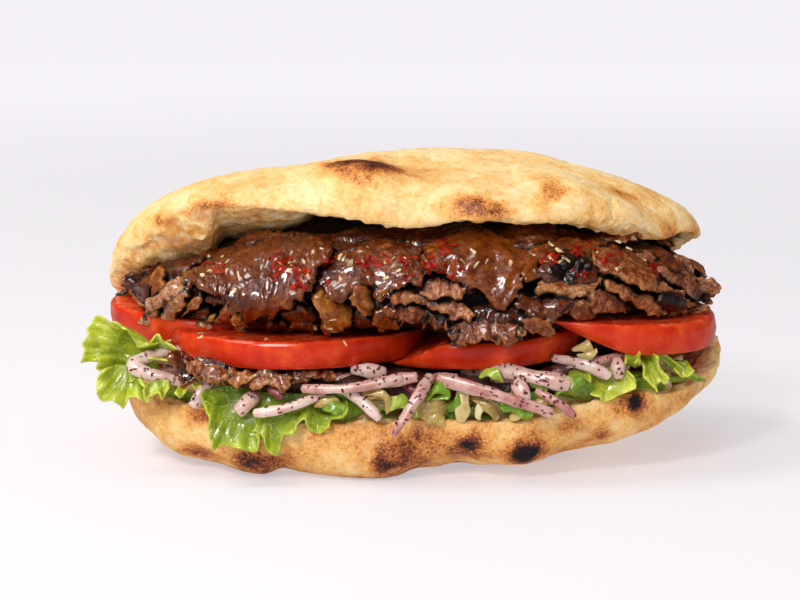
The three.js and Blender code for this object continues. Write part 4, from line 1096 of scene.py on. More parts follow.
tomato_paint, tree, shader, place = new_material("ripe_tomato")
mottle = noise(tree, place, 9, 3, 0.55)
fleck = noise(tree, place, 1.1, 2, 0.6)
value = arithmetic(tree, "MULTIPLY_ADD", fleck, 0.16, arithmetic(tree, "MULTIPLY", mottle, 0.9))
skin_colour = ramp(tree, value, (0.3, (178, 28, 2)), (0.5, (204, 46, 10)), (0.66, (220, 72, 24)),
                   (0.85, (238, 122, 60)))
wet = noise(tree, place, 3.0, 3, 0.6)
flesh_colour = ramp(tree, wet, (0.3, (196, 36, 8)), (0.5, (220, 62, 22)), (0.7, (238, 110, 66)))
tree.links.new(blend(tree, attribute(tree, "skin"), flesh_colour, skin_colour), shader.inputs["Base Color"])
set_inputs(shader,
           {"Roughness": 0.22, "Specular IOR Level": 0.3, "Coat Weight": 0.25, "Coat Roughness": 0.06})
add_softness(shader, 0.25, 2.5, (1.0, 0.3, 0.12))
pulp = arithmetic(tree, "MULTIPLY", wet, arithmetic(tree, "SUBTRACT", 1.0, attribute(tree, "skin")))
add_bump(tree, shader, arithmetic(tree, "MULTIPLY_ADD", mottle, 0.25, pulp), 0.5, 0.6)

slices = {}
for name, spec in TOMATOES.items():
    piece = tomato_slice(name, *spec)
    for neighbour in TOMATO_NEIGHBOURS[name]:
        apply_modifier(piece, "BOOLEAN", operation="DIFFERENCE", solver="EXACT", object=slices[neighbour])
    slices[name] = piece
    piece.data.materials.append(tomato_paint)
    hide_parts(name)
    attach(piece, "root")

# ------------------------
# Doner meat: thin slices shaved from a roasting cone, heaped and packed on the tomato.
# A rough mound in painted shade carries separate ragged slices. Some lie flat on it, some stick out of it
# like shelves.
# ------------------------
MOUND_FOOT = np.array([5, -5, 42])
MOUND_HEART = Vector((5, -5, 30))
MOUND_HALF_LENGTH, MOUND_HALF_DEPTH, MOUND_HEIGHT = 87, 45, 34
MOUND_FULLNESS = 2.4
RING_POINTS, RINGS = 361, 80


def mound_point(angle, rise):
    """A place on the mound, by the angle round it and the rise, a quarter turn from its foot to its top."""
    power = MOUND_FULLNESS
    c, s = np.cos(angle), np.sin(angle)
    reach = (np.abs(c) / MOUND_HALF_LENGTH) ** power + (np.abs(s) / MOUND_HALF_DEPTH) ** power
    reach **= -1 / power
    level, up = np.maximum(np.cos(rise), 0), np.sin(rise)
    swell = (level ** power + np.abs(up) ** power) ** (-1 / power)
    along = reach * swell * level * c / MOUND_HALF_LENGTH
    return np.stack([MOUND_FOOT[0] + MOUND_HALF_LENGTH * along, MOUND_FOOT[1] + reach * swell * level * s,
                     MOUND_FOOT[2] + MOUND_HEIGHT * swell * up * (1 - 0.3 * np.abs(along) ** 3)], -1)


rings = mound_point(*np.meshgrid(np.linspace(0, 2 * np.pi, RING_POINTS),
                                 np.linspace(-0.12, np.pi / 2, RINGS)))
mound_faces = [(first, first + 1, first + RING_POINTS + 1, first + RING_POINTS)
               for ring in range(RINGS - 1)
               for first in range(ring * RING_POINTS, (ring + 1) * RING_POINTS - 1)]
mound_tree = BVHTree.FromPolygons([Vector(p) for p in rings.reshape(-1, 3)], mound_faces)


def nearest_on_mound(spot):
    """The nearest place on the mound, and which way is out of it there."""
    near, way, _, _ = mound_tree.find_nearest(spot)
    return near, -way if way.dot(near - MOUND_HEART) < 0 else way


# How far the foot of the heap lies behind the rims of the tomato slices under it, by x.
FOOT_SET_BACK = ((-90, 3), (-72, 9), (-50, 13), (4, 12), (13, 2), (34, 1), (44, 4), (60, 6), (95, 6))
# The height of the foot, by x.
FOOT_HEIGHT = ((-90, 43.2), (-40, 41.8), (8, 41.2), (14, 39.2), (36, 39.2), (43, 40), (48, 44.6), (56, 46),
               (95, 46))


def set_back(points):
    """The open side's foot drawn in over the tomato, and nothing below the tomato's top."""
    front = np.clip((-8 - points[:, 1]) / 14, 0, 1)
    ground = np.interp(points[:, 0], *np.transpose(FOOT_HEIGHT))
    low = np.clip((ground + 9 - points[:, 2]) / 9, 0, 1) ** 1.4
    points[:, 1] += front * low * np.interp(points[:, 0], *np.transpose(FOOT_SET_BACK))
    points[:, 2] = np.where(points[:, 2] < ground, ground - 0.25 * (ground - points[:, 2]), points[:, 2])
    return points


def mound_core(u, v):
    """The mound under the slices: its flat foot takes the first rows, its rough side and top the others."""
    foot_share = 0.15
    angle, t = (u + 1) * np.pi, (v + 1) / 2
    rise = np.clip((t - foot_share) / (1 - foot_share), 0, 1) * np.pi / 2
    points = mound_point(angle, rise)
    foot = mound_point(angle, 0 * angle)
    inward = np.clip(t / foot_share, 0, 1)[:, None]
    points = np.where((t < foot_share)[:, None], MOUND_FOOT + (foot - MOUND_FOOT) * inward, points)
    away = points - tuple(MOUND_HEART)
    away /= np.linalg.norm(away, axis=1, keepdims=True)
    rough = 1.5 * lumps(points, 6, 51) + 0.8 * lumps(points, 2.8, 52) - 3.4
    return set_back(points + away * rough[:, None])


core = shaped_grid("meat_core", 260, 90, mound_core)
face_outwards(core)


# The view is 800 columns by 600 rows. A pixel spans so many millimetres at the camera's target, at the front
# of the heap, and up the heap's slope.
VIEW_MIDDLE = (400, 300)
PIXEL_AT_TARGET, PIXEL_AT_HEAP, PIXEL_UP_SLOPE = 0.3051, 0.29, 0.33
EYE = camera.location / MM


def aim(column, row):
    """The way of sight through a point of the view."""
    right = float(column - VIEW_MIDDLE[0]) * PIXEL_AT_TARGET
    up = float(VIEW_MIDDLE[1] - row) * PIXEL_AT_TARGET
    forward = Vector((0, math.cos(CAMERA_TILT), -math.sin(CAMERA_TILT)))
    upward = Vector((0, math.sin(CAMERA_TILT), math.cos(CAMERA_TILT)))
    return (CAMERA_DISTANCE / MM * forward + right * Vector((1, 0, 0)) + up * upward).normalized()


# How much the noise of one slice is shifted against the next one's, and the x that no slice goes past.
SEED_STEP = 13.7
THICKEST_SLICE = 4
RIGHT_LIMIT, RIGHT_GIVE = 90, 3


def shaved_slice(spot, facing, long, wide, turn, seed, lean=0, out=2, thick=2.0, ragged=1.0, tint=0.5,
                 light=0.45, glaze=0.3, char=0.0, rough=1.0, blunt=False, fine=1.15):
    """A thin slice of meat draped on the mound at a spot, its lower edge leaning out by lean degrees."""
    facing = facing.normalized()
    right = Vector((0, 0, 1)).cross(facing).normalized()
    upslope = facing.cross(right)
    turn, lean = math.radians(turn), math.radians(lean)
    along = np.array(math.cos(turn) * right + math.sin(turn) * upslope)
    across = np.array(math.cos(turn) * upslope - math.sin(turn) * right)
    columns, rows = max(8, round(long / fine)), max(5, round(wide / fine))
    squareness = 3.2
    made = {}

    def shape(u, v):
        edge = np.maximum(np.abs(u), np.abs(v))
        rounded = (np.abs(u) ** squareness + np.abs(v) ** squareness + 1e-9) ** (1 / squareness)
        squash = np.where(edge > 1e-6, edge / np.maximum(rounded, 1e-6), 1)
        x, y = u * squash * long / 2, v * squash * wide / 2
        where = np.stack([x, y, np.full(len(x), seed * SEED_STEP)], 1)
        radial = np.stack([x, y], 1) / np.maximum(np.hypot(x, y), 1e-6)[:, None]
        push = edge ** 3 * ragged * (2.4 * lumps(where, 7.5, 61) + 1.9 * lumps(where, 3.2, 62)
                                     + 0.9 * lumps(where, 1.7, 65))
        x, y = x + radial[:, 0] * push, y + radial[:, 1] * push
        made["grain"] = np.stack([x, y, np.full(len(x), seed * SEED_STEP)], 1)
        height = (out - y * math.sin(lean) + (1.5 * lumps(where, 9, 63) + 0.8 * lumps(where, 4.2, 64))
                  + edge ** 4 * (1.0 * lumps(where, 3.6, 66) + 0.7 * lumps(where, 2.1, 67)))
        flat = np.array(spot) + along * x[:, None] + across * (y * math.cos(lean))[:, None]
        points = np.empty_like(flat)
        for i, p in enumerate(flat):
            near, way = nearest_on_mound(Vector(p))
            points[i] = near + way * height[i]
        past = points[:, 0] - RIGHT_LIMIT
        points[:, 0] = np.where(past > 0, RIGHT_LIMIT + RIGHT_GIVE * np.tanh(past / RIGHT_GIVE), points[:, 0])
        made["rim"] = edge
        return set_back(points)

    piece = shaped_grid("slice", columns, rows, shape)
    marks = dict(tint=tint, light=light, glaze=glaze, char=char, rough=rough)
    return finish_slice(piece, made, thick, blunt, marks)


def sight_spot(column, row):
    """Where the line of sight meets the mound, and the mound's facing there."""
    place, way, _, _ = mound_tree.ray_cast(EYE, aim(column, row))
    return (place, way if way.y < 0 or way.z > 0.9 else -way) if place else (None, None)


sight_tree = BVHTree.FromPolygons([Vector(p) for p in set_back(rings.reshape(-1, 3).copy())], mound_faces)
# The y of slices that hang wholly past the mound.
PAST_MOUND = -44
# The one charred place of the heap, by column and row of the view.
BURNT_PLACE, BURNT_REACH = (567, 267), (27, 17)


def meat_sheet(outline, lift=4.5, lean=0.0, thick=2.4, tint=0.4, light=0.5, glaze=0.5, char=0.0, rough=1.0,
               wavy=1.0, ragged=1.0, fringe=0.0, blunt=False, bulge=0.0, depth=None, seed=0, fine=0.98):
    """A slice with a given outline in the view, lift millimetres in front of the mound.

    The outline is split at its two farthest corners into a lower and a higher side, and the grid's rows lie
    between them. Lean brings the lower edge forward, fringe tears it, and bulge pads the middle. A depth puts
    the slice at that y instead, without the mound. Fine is the size of the faces.
    """
    corners = np.reshape(outline, (-1, 2)).astype(float)
    gaps = np.linalg.norm(corners[:, None] - corners[None], axis=2)
    first, last = np.unravel_index(gaps.argmax(), gaps.shape)
    if corners[first, 0] > corners[last, 0]:
        first, last = last, first
    loop = np.roll(corners, -first, axis=0)
    split = (last - first) % len(corners)
    chord = corners[last] - corners[first]
    sides = sorted((loop[:split + 1], np.vstack([loop[split:], loop[:1]])[::-1]),
                   key=lambda side: (side - loop[0]).mean(0) @ (chord[1], -chord[0]))
    steps = [np.concatenate([[0], np.cumsum(np.linalg.norm(np.diff(side, axis=0), axis=1))])
             for side in sides]

    def walk(k, t):
        return np.stack([np.interp(t * steps[k][-1], steps[k], sides[k][:, axis]) for axis in (0, 1)], 1)
    t = np.linspace(0, 1, 30)
    columns = max(8, round(max(steps[0][-1], steps[1][-1]) * PIXEL_AT_HEAP / fine))
    rows = max(5, round(np.linalg.norm(walk(0, t) - walk(1, t), axis=1).mean() * PIXEL_UP_SLOPE / fine))
    made = {}

    def shape(u, v):
        t = 0.5 + 0.485 * u
        low, high = walk(0, t), walk(1, t)
        spot = low + (high - low) * (v[:, None] + 1) / 2
        edge = np.maximum(np.abs(u), np.abs(v))
        own = np.full(len(u), seed * SEED_STEP)
        where = np.stack([spot[:, 0] * PIXEL_AT_HEAP, spot[:, 1] * PIXEL_AT_HEAP, own], 1)
        for axis in (0, 1):
            notches = 0.8 * lumps(where, 2.8, 61 + axis) + 0.6 * lumps(where, 1.6, 65 + axis)
            spot[:, axis] += 3.4 * ragged * edge ** 3 * notches
        edge_run = np.stack([t * steps[0][-1] * PIXEL_AT_HEAP, 0 * t, np.full(len(t), seed * 5.3)], 1)
        torn = 0.7 * lumps(edge_run, 2.6, 68) + 0.7 * lumps(edge_run, 1.05, 70) + 0.2
        downwards = np.array((-chord[1], chord[0]))
        spot += (fringe * torn * ((1 - v) / 2) ** 3)[:, None] * downwards / np.hypot(*chord)
        ways = [aim(*p) for p in spot]
        hits = [None if depth else sight_tree.ray_cast(EYE, way)[0] for way in ways]
        back = np.array([hit.y if hit else np.nan for hit in hits])
        found = np.nonzero(~np.isnan(back))[0]
        for k in np.nonzero(np.isnan(back))[0]:
            gaps = np.hypot(*(spot[found] - spot[k]).T)
            back[k] = back[found[gaps.argmin()]] if len(found) else depth or PAST_MOUND
        back = np.minimum(back, np.min(back) + 15)
        rise = (lift + wavy * (1.3 * lumps(where, 9, 63) + 0.8 * lumps(where, 4.2, 64)) - lean * v / 2
                + edge ** 4 * wavy * (0.9 * lumps(where, 3.6, 66) + 0.7 * lumps(where, 2.1, 67))
                + bulge * (1 - edge ** 2))
        points = np.array([tuple(EYE + way * ((y - EYE.y) / way.y)) for way, y in zip(ways, back - rise)])
        ground = 0 if depth else np.interp(points[:, 0], *np.transpose(FOOT_HEIGHT))
        points[:, 2] = np.where(points[:, 2] < ground, ground - 0.5 * (ground - points[:, 2]), points[:, 2])
        line = chord / np.hypot(*chord) * PIXEL_AT_HEAP
        lengths = (spot @ line, spot @ (line[1], -line[0]))
        made["grain"] = np.stack([*(lengths[::-1] if fringe > 2 else lengths), own], 1)
        made["rim"] = edge
        burnt = np.hypot(*((spot - BURNT_PLACE) / BURNT_REACH).T) + 0.3 * lumps(where, 2.2, 69)
        made["glaze"] = glaze * (1 - 0.35 * np.clip(v + 0.1, 0, 1)) if fringe < 2.1 else glaze
        made["char"] = np.maximum(char, 0 if depth else np.clip(2.1 - 2 * burnt, 0, 0.97))
        return points
    piece = shaped_grid("slice", columns, rows, shape)
    marks = dict(tint=tint, light=light, glaze=glaze, char=char, rough=rough)
    return finish_slice(piece, made, thick, blunt, marks)


def finish_slice(piece, made, thick, blunt, marks):
    """Notes down what the material needs, and where the slice gets thin towards its rim."""
    set_grain(piece, made["grain"])
    for key, value in marks.items():
        set_attribute(piece, key, made.get(key, value))
    set_attribute(piece, "rim", made["rim"])
    thickness = piece.vertex_groups.new(name="thick")
    steps = 8
    for step in range(steps):
        inside = np.nonzero((made["rim"] >= step / steps) & (made["rim"] <= (step + 1) / steps))[0]
        share = 1 - (0.12 if blunt else 0.65) * ((step + 0.5) / steps) ** 6
        thickness.add(inside.tolist(), share * thick / THICKEST_SLICE, "REPLACE")
    piece.data.materials.append(golden_fat if marks["tint"] > 0.75 else roast)
    return piece


TORN_FINGER = dict(tint=0.2, light=1.0, glaze=0.8, thick=3.0, blunt=True, rough=1.6, wavy=1.3, bulge=0.8,
                   fine=0.8, fringe=3)
GOLDEN_LOBE = dict(lean=8, tint=1.0, light=0.75, glaze=0.98, thick=3.0, blunt=True, ragged=0.5, rough=0.7,
                   bulge=2.2, fine=0.8)
# Slices seen from the open side, from the back layers to the front ones: the outline as columns and rows of
# the view, then what sets the slice apart.
SHEETS = (
    # left end: dark glossy strips, a strand, then two torn fingers
    ((135,272, 150,266, 170,262, 190,258, 204,256, 204,264, 190,270, 178,280, 165,288, 150,288, 140,282),
     dict(lift=0.8, tint=0.3, light=0.1)),
    ((122,279, 127,275, 134,274, 140,272, 146,274, 150,280, 151,290, 149,302, 146,307, 140,301, 133,294,
      127,289, 123,285), dict(lift=2.0, tint=0.3, light=0.25, glaze=0.95, rough=0.6, wavy=1.4)),
    ((133,291, 137,294, 142,302, 148,309, 142,305, 135,299),
     dict(lift=3.0, tint=0.5, light=0.6, glaze=0.6, thick=1.6, blunt=True)),
    ((116,297, 120,293, 127,290, 129,292, 124,295), dict(lift=3.4, light=0, char=0.6, glaze=0.6, thick=1.6)),
    ((157,272, 163,269, 167,273, 162,279, 166,285, 161,291, 158,298, 152,298, 154,289, 153,280),
     dict(lift=3.6, tint=0.6, light=0.7, glaze=0.45, blunt=True, rough=1.5, wavy=1.5)),
    ((176,280, 183,278, 188,282, 185,291, 178,296, 171,299, 164,303, 159,309, 156,316, 151,322, 145,328,
      141,326, 143,318, 147,311, 152,305, 148,301, 151,298, 160,296, 166,290, 170,284),
     dict(TORN_FINGER, lift=5.4)),
    ((187,282, 193,285, 189,296, 185,304, 178,309, 177,315, 173,321, 168,321, 162,318, 167,313, 164,309,
      162,305, 168,301, 175,297, 181,292), dict(TORN_FINGER, lift=5.6)),
    ((189,288, 196,285, 204,290, 203,298, 198,297, 193,295),
     dict(lift=4.4, tint=1.0, light=0.35, glaze=0.95, thick=2, blunt=True)),
    ((198,296, 203,297, 199,304, 194,309, 188,314, 181,315, 186,308, 191,301),
     dict(lift=4.4, light=0.85, glaze=0.85, thick=2.2, blunt=True, rough=1.2)),
    ((176,306, 184,304, 180,316, 176,322, 172,321), dict(lift=3.6, light=0.2, glaze=0.9)),
    ((203,298, 212,293, 225,293, 236,297, 242,301, 232,304, 222,305, 210,302),
     dict(lift=3.4, tint=0.6, light=0.35, glaze=0.7)),
    ((186,316, 196,312, 208,308, 216,312, 212,318, 200,321, 190,321), dict(lift=2.0, light=0.15, glaze=0.8)),
    ((218,311, 222,307, 229,307, 235,312, 233,318, 226,320, 219,323, 213,325, 216,317),
     dict(lift=4.6, tint=0.3, light=0.6, glaze=0.6, thick=2.6, blunt=True, rough=1.8, fringe=4)),
    ((214,313, 217,315, 213,322, 207,326, 201,330, 196,329, 194,325, 200,321, 206,320, 210,316),
     dict(lift=6.0, tint=0.75, light=0.95, thick=2.2, blunt=True, ragged=0.6, rough=1.2)),
    ((236,300, 250,304, 262,310, 270,318, 262,322, 250,320, 240,312),
     dict(lift=2.4, tint=0.3, light=0.2, glaze=0.9)),
    ((234,312, 240,313, 245,319, 250,322, 250,327, 245,330, 239,329, 236,323, 234,317),
     dict(lift=6.0, tint=1.0, light=0.8, glaze=0.95, thick=3.4, blunt=True, ragged=0.4, rough=0.4,
          bulge=0.8)),
    ((283,312, 292,309, 302,306, 312,308, 318,313, 321,321, 308,322, 296,321, 286,319),
     dict(lift=3.4, tint=0.2, light=0.3, glaze=0.8)),
    ((263,328, 266,322, 271,320, 275,325, 282,322, 290,321, 287,327, 279,331, 271,334, 265,332),
     dict(lift=5.6, tint=0, light=0.3, glaze=0.9, char=0.25, thick=2.8, blunt=True, rough=1.3, fringe=3)),
    ((289,323, 300,320, 312,320, 321,323, 319,330, 308,331, 298,330, 288,330),
     dict(lift=5.0, tint=0.3, light=0.45, glaze=0.6, thick=2.6, blunt=True, rough=1.8, fringe=4)),
    # big glazed sheet
    ((179,281, 190,272, 202,267, 212,259, 225,251, 240,245, 262,240, 285,236, 303,234, 318,237, 331,243,
      327,252, 320,263, 315,272, 312,284, 305,289, 302,295, 295,302, 290,308, 284,313, 277,318, 268,320,
      258,317, 250,321, 243,319, 240,314, 232,312, 229,307, 227,301, 221,296, 214,293, 207,294, 202,290,
      198,285, 190,283),
     dict(lift=5.4, tint=0.5, light=0.3, glaze=0.98, rough=0.6, wavy=0.8, bulge=0.6, ragged=1.5, fringe=2,
          lean=8)),
    # middle sheet with its golden lobes
    ((352,316, 358,311, 368,314, 375,318, 373,327, 362,329, 353,326),
     dict(lift=3.4, tint=0.2, light=0.15, glaze=0.95)),
    ((376,308, 384,304, 394,307, 398,316, 400,323, 394,327, 387,322, 385,329, 378,325, 372,318),
     dict(lift=5.0, tint=0.8, light=0.45, glaze=0.9, thick=2.8, blunt=True, rough=1.4, fringe=3)),
    ((318,262, 330,254, 343,251, 352,251, 362,246, 372,241, 385,240, 400,242, 412,245, 421,251, 425,262,
      433,268, 427,277, 420,282, 417,288, 409,285, 402,290, 396,289, 390,295, 380,300, 375,297, 373,291,
      366,290, 358,289, 352,295, 347,299, 340,301, 333,301, 326,299, 318,299, 314,290, 313,281, 315,271),
     dict(lift=5.0, tint=0.3, light=0.4, glaze=0.65, rough=1.1, thick=2.2, bulge=1.0, ragged=1.7, wavy=0.8,
          lean=4)),
    ((318,289, 327,288, 337,291, 345,297, 350,305, 353,314, 351,321, 345,327, 336,330, 326,331, 320,328,
      323,321, 325,316, 319,312, 315,305), dict(GOLDEN_LOBE, lift=4.0)),
    ((351,297, 355,290, 362,285, 370,287, 375,296, 376,303, 373,310, 367,314, 360,313, 354,308),
     dict(GOLDEN_LOBE, lift=4.4)),
    ((374,292, 384,287, 394,284, 404,283, 400,290, 394,289, 390,295, 380,301, 375,299),
     dict(lift=6.6, tint=0.9, light=0.6, glaze=0.7, thick=2.2, blunt=True, rough=1.2)),
    # pinkish slices with torn ends, seen edge-on
    ((376,303, 390,302, 402,304, 414,305, 424,306, 432,309, 440,312, 449,316, 450,322, 444,327, 436,328,
      434,322, 428,320, 428,327, 422,329, 416,326, 412,321, 404,322, 398,317, 388,312, 380,308),
     dict(lift=4.8, lean=4, tint=0.1, light=0.55, glaze=0.35, thick=3.2, blunt=True, rough=1.2, fine=0.8,
          fringe=6)),
    ((392,297, 400,291, 410,291, 420,293, 428,297, 436,300, 446,301, 456,301, 464,304, 470,310, 471,319,
      464,322, 458,319, 450,321, 446,315, 440,311, 432,309, 426,303, 416,300, 404,300, 396,300),
     dict(lift=5.6, lean=3, tint=0.1, light=0.7, glaze=0.3, thick=2.8, blunt=True, rough=0.9, fine=0.8,
          fringe=4)),
    ((422,281, 432,278, 445,280, 456,283, 464,287, 464,293, 457,298, 448,296, 441,300, 433,300, 425,297,
      415,290),
     dict(lift=5.2, lean=3, tint=0.1, light=0.75, glaze=0.3, thick=2.8, blunt=True, ragged=0.8, rough=0.8,
          fringe=2.5)),
    ((466,319, 474,310, 484,305, 500,302, 512,303, 523,307, 526,316, 524,324, 505,325, 490,324, 478,323),
     dict(lift=4.2, lean=2, tint=0.3, light=0.3, glaze=0.9, rough=0.9)),
    ((448,328, 453,323, 460,321, 468,319, 480,320, 492,321, 505,322, 516,321, 524,326, 523,334, 519,340,
      510,342, 504,338, 498,342, 490,340, 482,339, 476,342, 468,341, 464,346, 456,347, 455,341, 450,335),
     dict(lift=6.0, lean=3, tint=0.1, light=0.6, glaze=0.45, thick=3.2, blunt=True, ragged=1.5, rough=1.3,
          fine=0.8, fringe=7)),
    # golden sheet with its hanging tongue, and the brown glazed one under it
    ((512,299, 520,295, 530,297, 540,298, 550,299, 556,298, 562,295, 569,297, 571,303, 567,309, 562,314,
      557,314, 556,321, 551,326, 545,328, 538,323, 530,319, 522,312, 514,307),
     dict(lift=5.0, lean=2, tint=0.5, light=0.3, glaze=0.85, rough=0.9)),
    ((521,319, 532,318, 545,322, 553,326, 550,338, 545,334, 536,330, 527,326),
     dict(lift=6.6, tint=0.3, light=0.65, glaze=0.85, blunt=True, fringe=5)),
    ((424,262, 419,250, 432,244, 448,238, 462,231, 478,229, 492,233, 505,238, 518,244, 528,250, 539,257,
      542,266, 541,275, 532,281, 525,280, 518,278, 518,285, 517,293, 514,300, 510,303, 504,303, 500,306,
      495,307, 489,302, 485,296, 479,290, 473,287, 466,286, 460,282, 452,277, 445,273, 436,272, 428,271),
     dict(lift=5.2, tint=1.0, light=0.4, glaze=0.95, rough=0.6, wavy=0.8, bulge=1.0, ragged=1.4, lean=4)),
    # charred crust with the pale roll under it
    ((524,250, 545,243, 565,239, 585,240, 600,245, 607,254, 602,263, 590,264, 575,258, 555,256, 540,262),
     dict(lift=4.4, tint=0.7, light=0.35, glaze=0.8, rough=1.2)),
    ((539,281, 548,283, 560,284, 572,283, 584,280, 592,281, 602,276, 603,281, 594,288, 585,294, 576,295,
      568,298, 560,296, 552,291, 543,292, 538,287),
     dict(lift=5.4, lean=2, tint=0.35, light=0.85, glaze=0.6, thick=3.0, blunt=True, ragged=0.7, rough=0.9)),
    ((538,268, 543,259, 550,254, 558,251, 568,251, 578,251, 588,255, 595,262, 597,270, 593,279, 588,284,
      578,285, 566,286, 556,285, 546,283, 540,277),
     dict(lift=5.2, tint=0.5, light=0.15, glaze=0.98, rough=0.9, wavy=0.6, bulge=1.0, ragged=1.4, fine=0.72)),
    # thick folded slices at the right and the torn end
    ((556,302, 564,299, 572,299, 571,308, 563,314, 557,311),
     dict(lift=4.2, tint=0.3, light=0.7, blunt=True, rough=1.4)),
    ((570,300, 580,297, 588,299, 592,307, 593,316, 580,318, 570,316, 567,310),
     dict(lift=4.4, tint=0.1, light=0.6, glaze=0.4, thick=2.6, blunt=True, rough=1.6, fringe=4)),
    ((587,292, 598,289, 608,291, 618,297, 625,304, 626,311, 612,310, 600,309, 590,310, 587,302),
     dict(lift=4.4, lean=3, tint=0.1, light=0.6, glaze=0.45, thick=2.8, blunt=True, rough=1.2, fringe=3)),
    ((600,256, 614,250, 628,252, 642,258, 655,268, 666,280, 656,284, 644,276, 630,266, 614,260),
     dict(lift=3.4, tint=0.5, light=0.45, glaze=0.6, rough=1.5)),
    ((636,252, 644,249, 655,249, 665,253, 672,257, 680,257, 686,259, 691,265, 692,273, 699,276, 706,279,
      712,279, 714,276, 717,280, 719,286, 721,291, 715,295, 709,298, 703,301, 697,303, 690,298, 684,294,
      678,290, 670,286, 664,282, 659,275, 654,271, 647,266, 640,259),
     dict(lift=3.8, tint=0, light=0.75, glaze=0.2, rough=1.5, wavy=1.4, ragged=0.9)),
    ((655,281, 662,279, 669,285, 677,290, 685,295, 691,300, 698,305, 706,305, 709,312, 704,319, 698,323,
      690,319, 682,315, 676,319, 668,317, 660,315, 663,306, 660,298, 656,291),
     dict(lift=4.6, tint=0.35, light=0.75, glaze=0.4, rough=1.7, thick=2.6, blunt=True, fringe=2)),
    ((604,278, 612,281, 620,287, 630,290, 640,292, 650,294, 658,299, 663,306, 666,313, 662,320, 655,319,
      652,313, 645,309, 635,304, 625,299, 616,293, 607,287),
     dict(lift=5.6, lean=2, tint=0.25, light=0.75, glaze=0.35, thick=2.8, blunt=True, ragged=0.6,
          fringe=2.5)),
    ((591,252, 600,249, 612,251, 622,255, 632,261, 641,267, 651,274, 654,283, 651,291, 643,290, 634,286,
      626,280, 618,277, 608,276, 601,273, 595,269, 591,261),
     dict(lift=6.0, lean=2, tint=0.3, light=0.65, glaze=0.55, thick=2.8, blunt=True, ragged=0.7, rough=1.2,
          fringe=2)),
    ((656,297, 664,294, 672,293, 681,298, 683,305, 676,308, 666,307, 659,303),
     dict(lift=6.4, light=0.05, glaze=0.98, char=0.8, thick=3.4, blunt=True, ragged=0.3, rough=0.5,
          bulge=1.2)),
)


def meat_material(name, soft, coarse):
    """Roasted meat: brown to golden, granular, glossy where fat and meat juices glaze it, with painted shade
    darkening its hollows.
    """
    material, tree, shader, place = new_material(name)
    fibre = grain_pattern(tree, (0.3, 1.0, 1), Scale=0.9, Detail=3, Roughness=0.6)
    patches, blotches = noise(tree, place, 8, 3, 0.6), noise(tree, place, 3.2, 3, 0.6)
    crumbs, grit = noise(tree, place, 1.3, 3, 0.65), noise(tree, place, 0.6, 2, 0.6)
    rim = spread(tree, attribute(tree, "rim"), 0.55, 1.0)
    value = 0.275 * (1 - coarse)
    for pattern, share in ((crumbs, 0.3 * coarse), (fibre, 0.3), (patches, 0.3), (blotches, 0.25),
                           (grit, 0.25 * coarse), (rim, 0.045)):
        value = arithmetic(tree, "MULTIPLY_ADD", pattern, share, value)
    value = arithmetic(tree, "SUBTRACT", value, 0.235)
    value = arithmetic(tree, "MULTIPLY_ADD", attribute(tree, "light"), 0.3, value)
    plain = ramp(tree, value, (0.44, (30, 8, 2)), (0.56, (76, 25, 5)), (0.65, (120, 54, 19)),
                 (0.75, (176, 112, 74)), (0.87, (234, 190, 156)))
    golden = ramp(tree, value, (0.44, (54, 15, 1)), (0.55, (102, 42, 3)), (0.65, (148, 76, 12)),
                  (0.75, (196, 124, 40)), (0.87, (240, 196, 118)))
    tint = arithmetic(tree, "MULTIPLY_ADD", rim, 0.25, attribute(tree, "tint"))
    colour = blend(tree, spread(tree, tint, 0.1, 0.95), plain, golden)
    glaze = arithmetic(tree, "MULTIPLY", attribute(tree, "glaze"), spread(tree, patches, 0.3, 0.5, 0.6, 1))
    colour = blend(tree, arithmetic(tree, "MULTIPLY", glaze, 0.42), colour, (98, 34, 3))
    # Painted shade: the deeper a point lies in a hollow, the nearer its colour comes to black.
    colour = blend(tree, spread(tree, attribute(tree, "hollow"), 0.1, 0.55, 0, 0.96), colour, (14, 4, 1))
    char = arithmetic(tree, "MULTIPLY", attribute(tree, "char"), spread(tree, rim, 0.2, 1, 1, 0.55))
    burnt = spread(tree, arithmetic(tree, "MULTIPLY_ADD", blotches, 0.8, char), 0.75, 1.15)
    colour = blend(tree, burnt, colour, (20, 7, 3))
    tree.links.new(colour, shader.inputs["Base Color"])
    matt = spread(tree, glaze, 0.1, 0.8, 0.4, 0.12)
    wet = spread(tree, glaze, 0.25, 0.8, 0.0, 1.0)
    for look, left_by_char, socket in ((matt, 0.6, "Roughness"), (wet, 0.3, "Coat Weight")):
        dried = arithmetic(tree, "MULTIPLY", look, spread(tree, char, 0.3, 0.9, 1, left_by_char))
        tree.links.new(dried, shader.inputs[socket])
    set_inputs(shader, {"Coat Roughness": 0.045, "Specular IOR Level": 0.35})
    add_softness(shader, soft, 2.0, (1.0, 0.45, 0.15))
    height = arithmetic(tree, "MULTIPLY_ADD", fibre, 0.5, crumbs)
    burnt_crust = arithmetic(tree, "MULTIPLY", noise(tree, place, 1.8, 2, 0.5), char)
    height = arithmetic(tree, "MULTIPLY_ADD", burnt_crust, 1.3, height)
    add_bump(tree, shader, arithmetic(tree, "MULTIPLY_ADD", grit, 0.2, height), 0.6, 0.9)
    return material


roast, golden_fat = meat_material("roast_meat", 0.05, 1), meat_material("golden_fat", 0.3, 0.5)
slices_made = [meat_sheet(outline, seed=i + 1, **more) for i, (outline, more) in enumerate(SHEETS)]

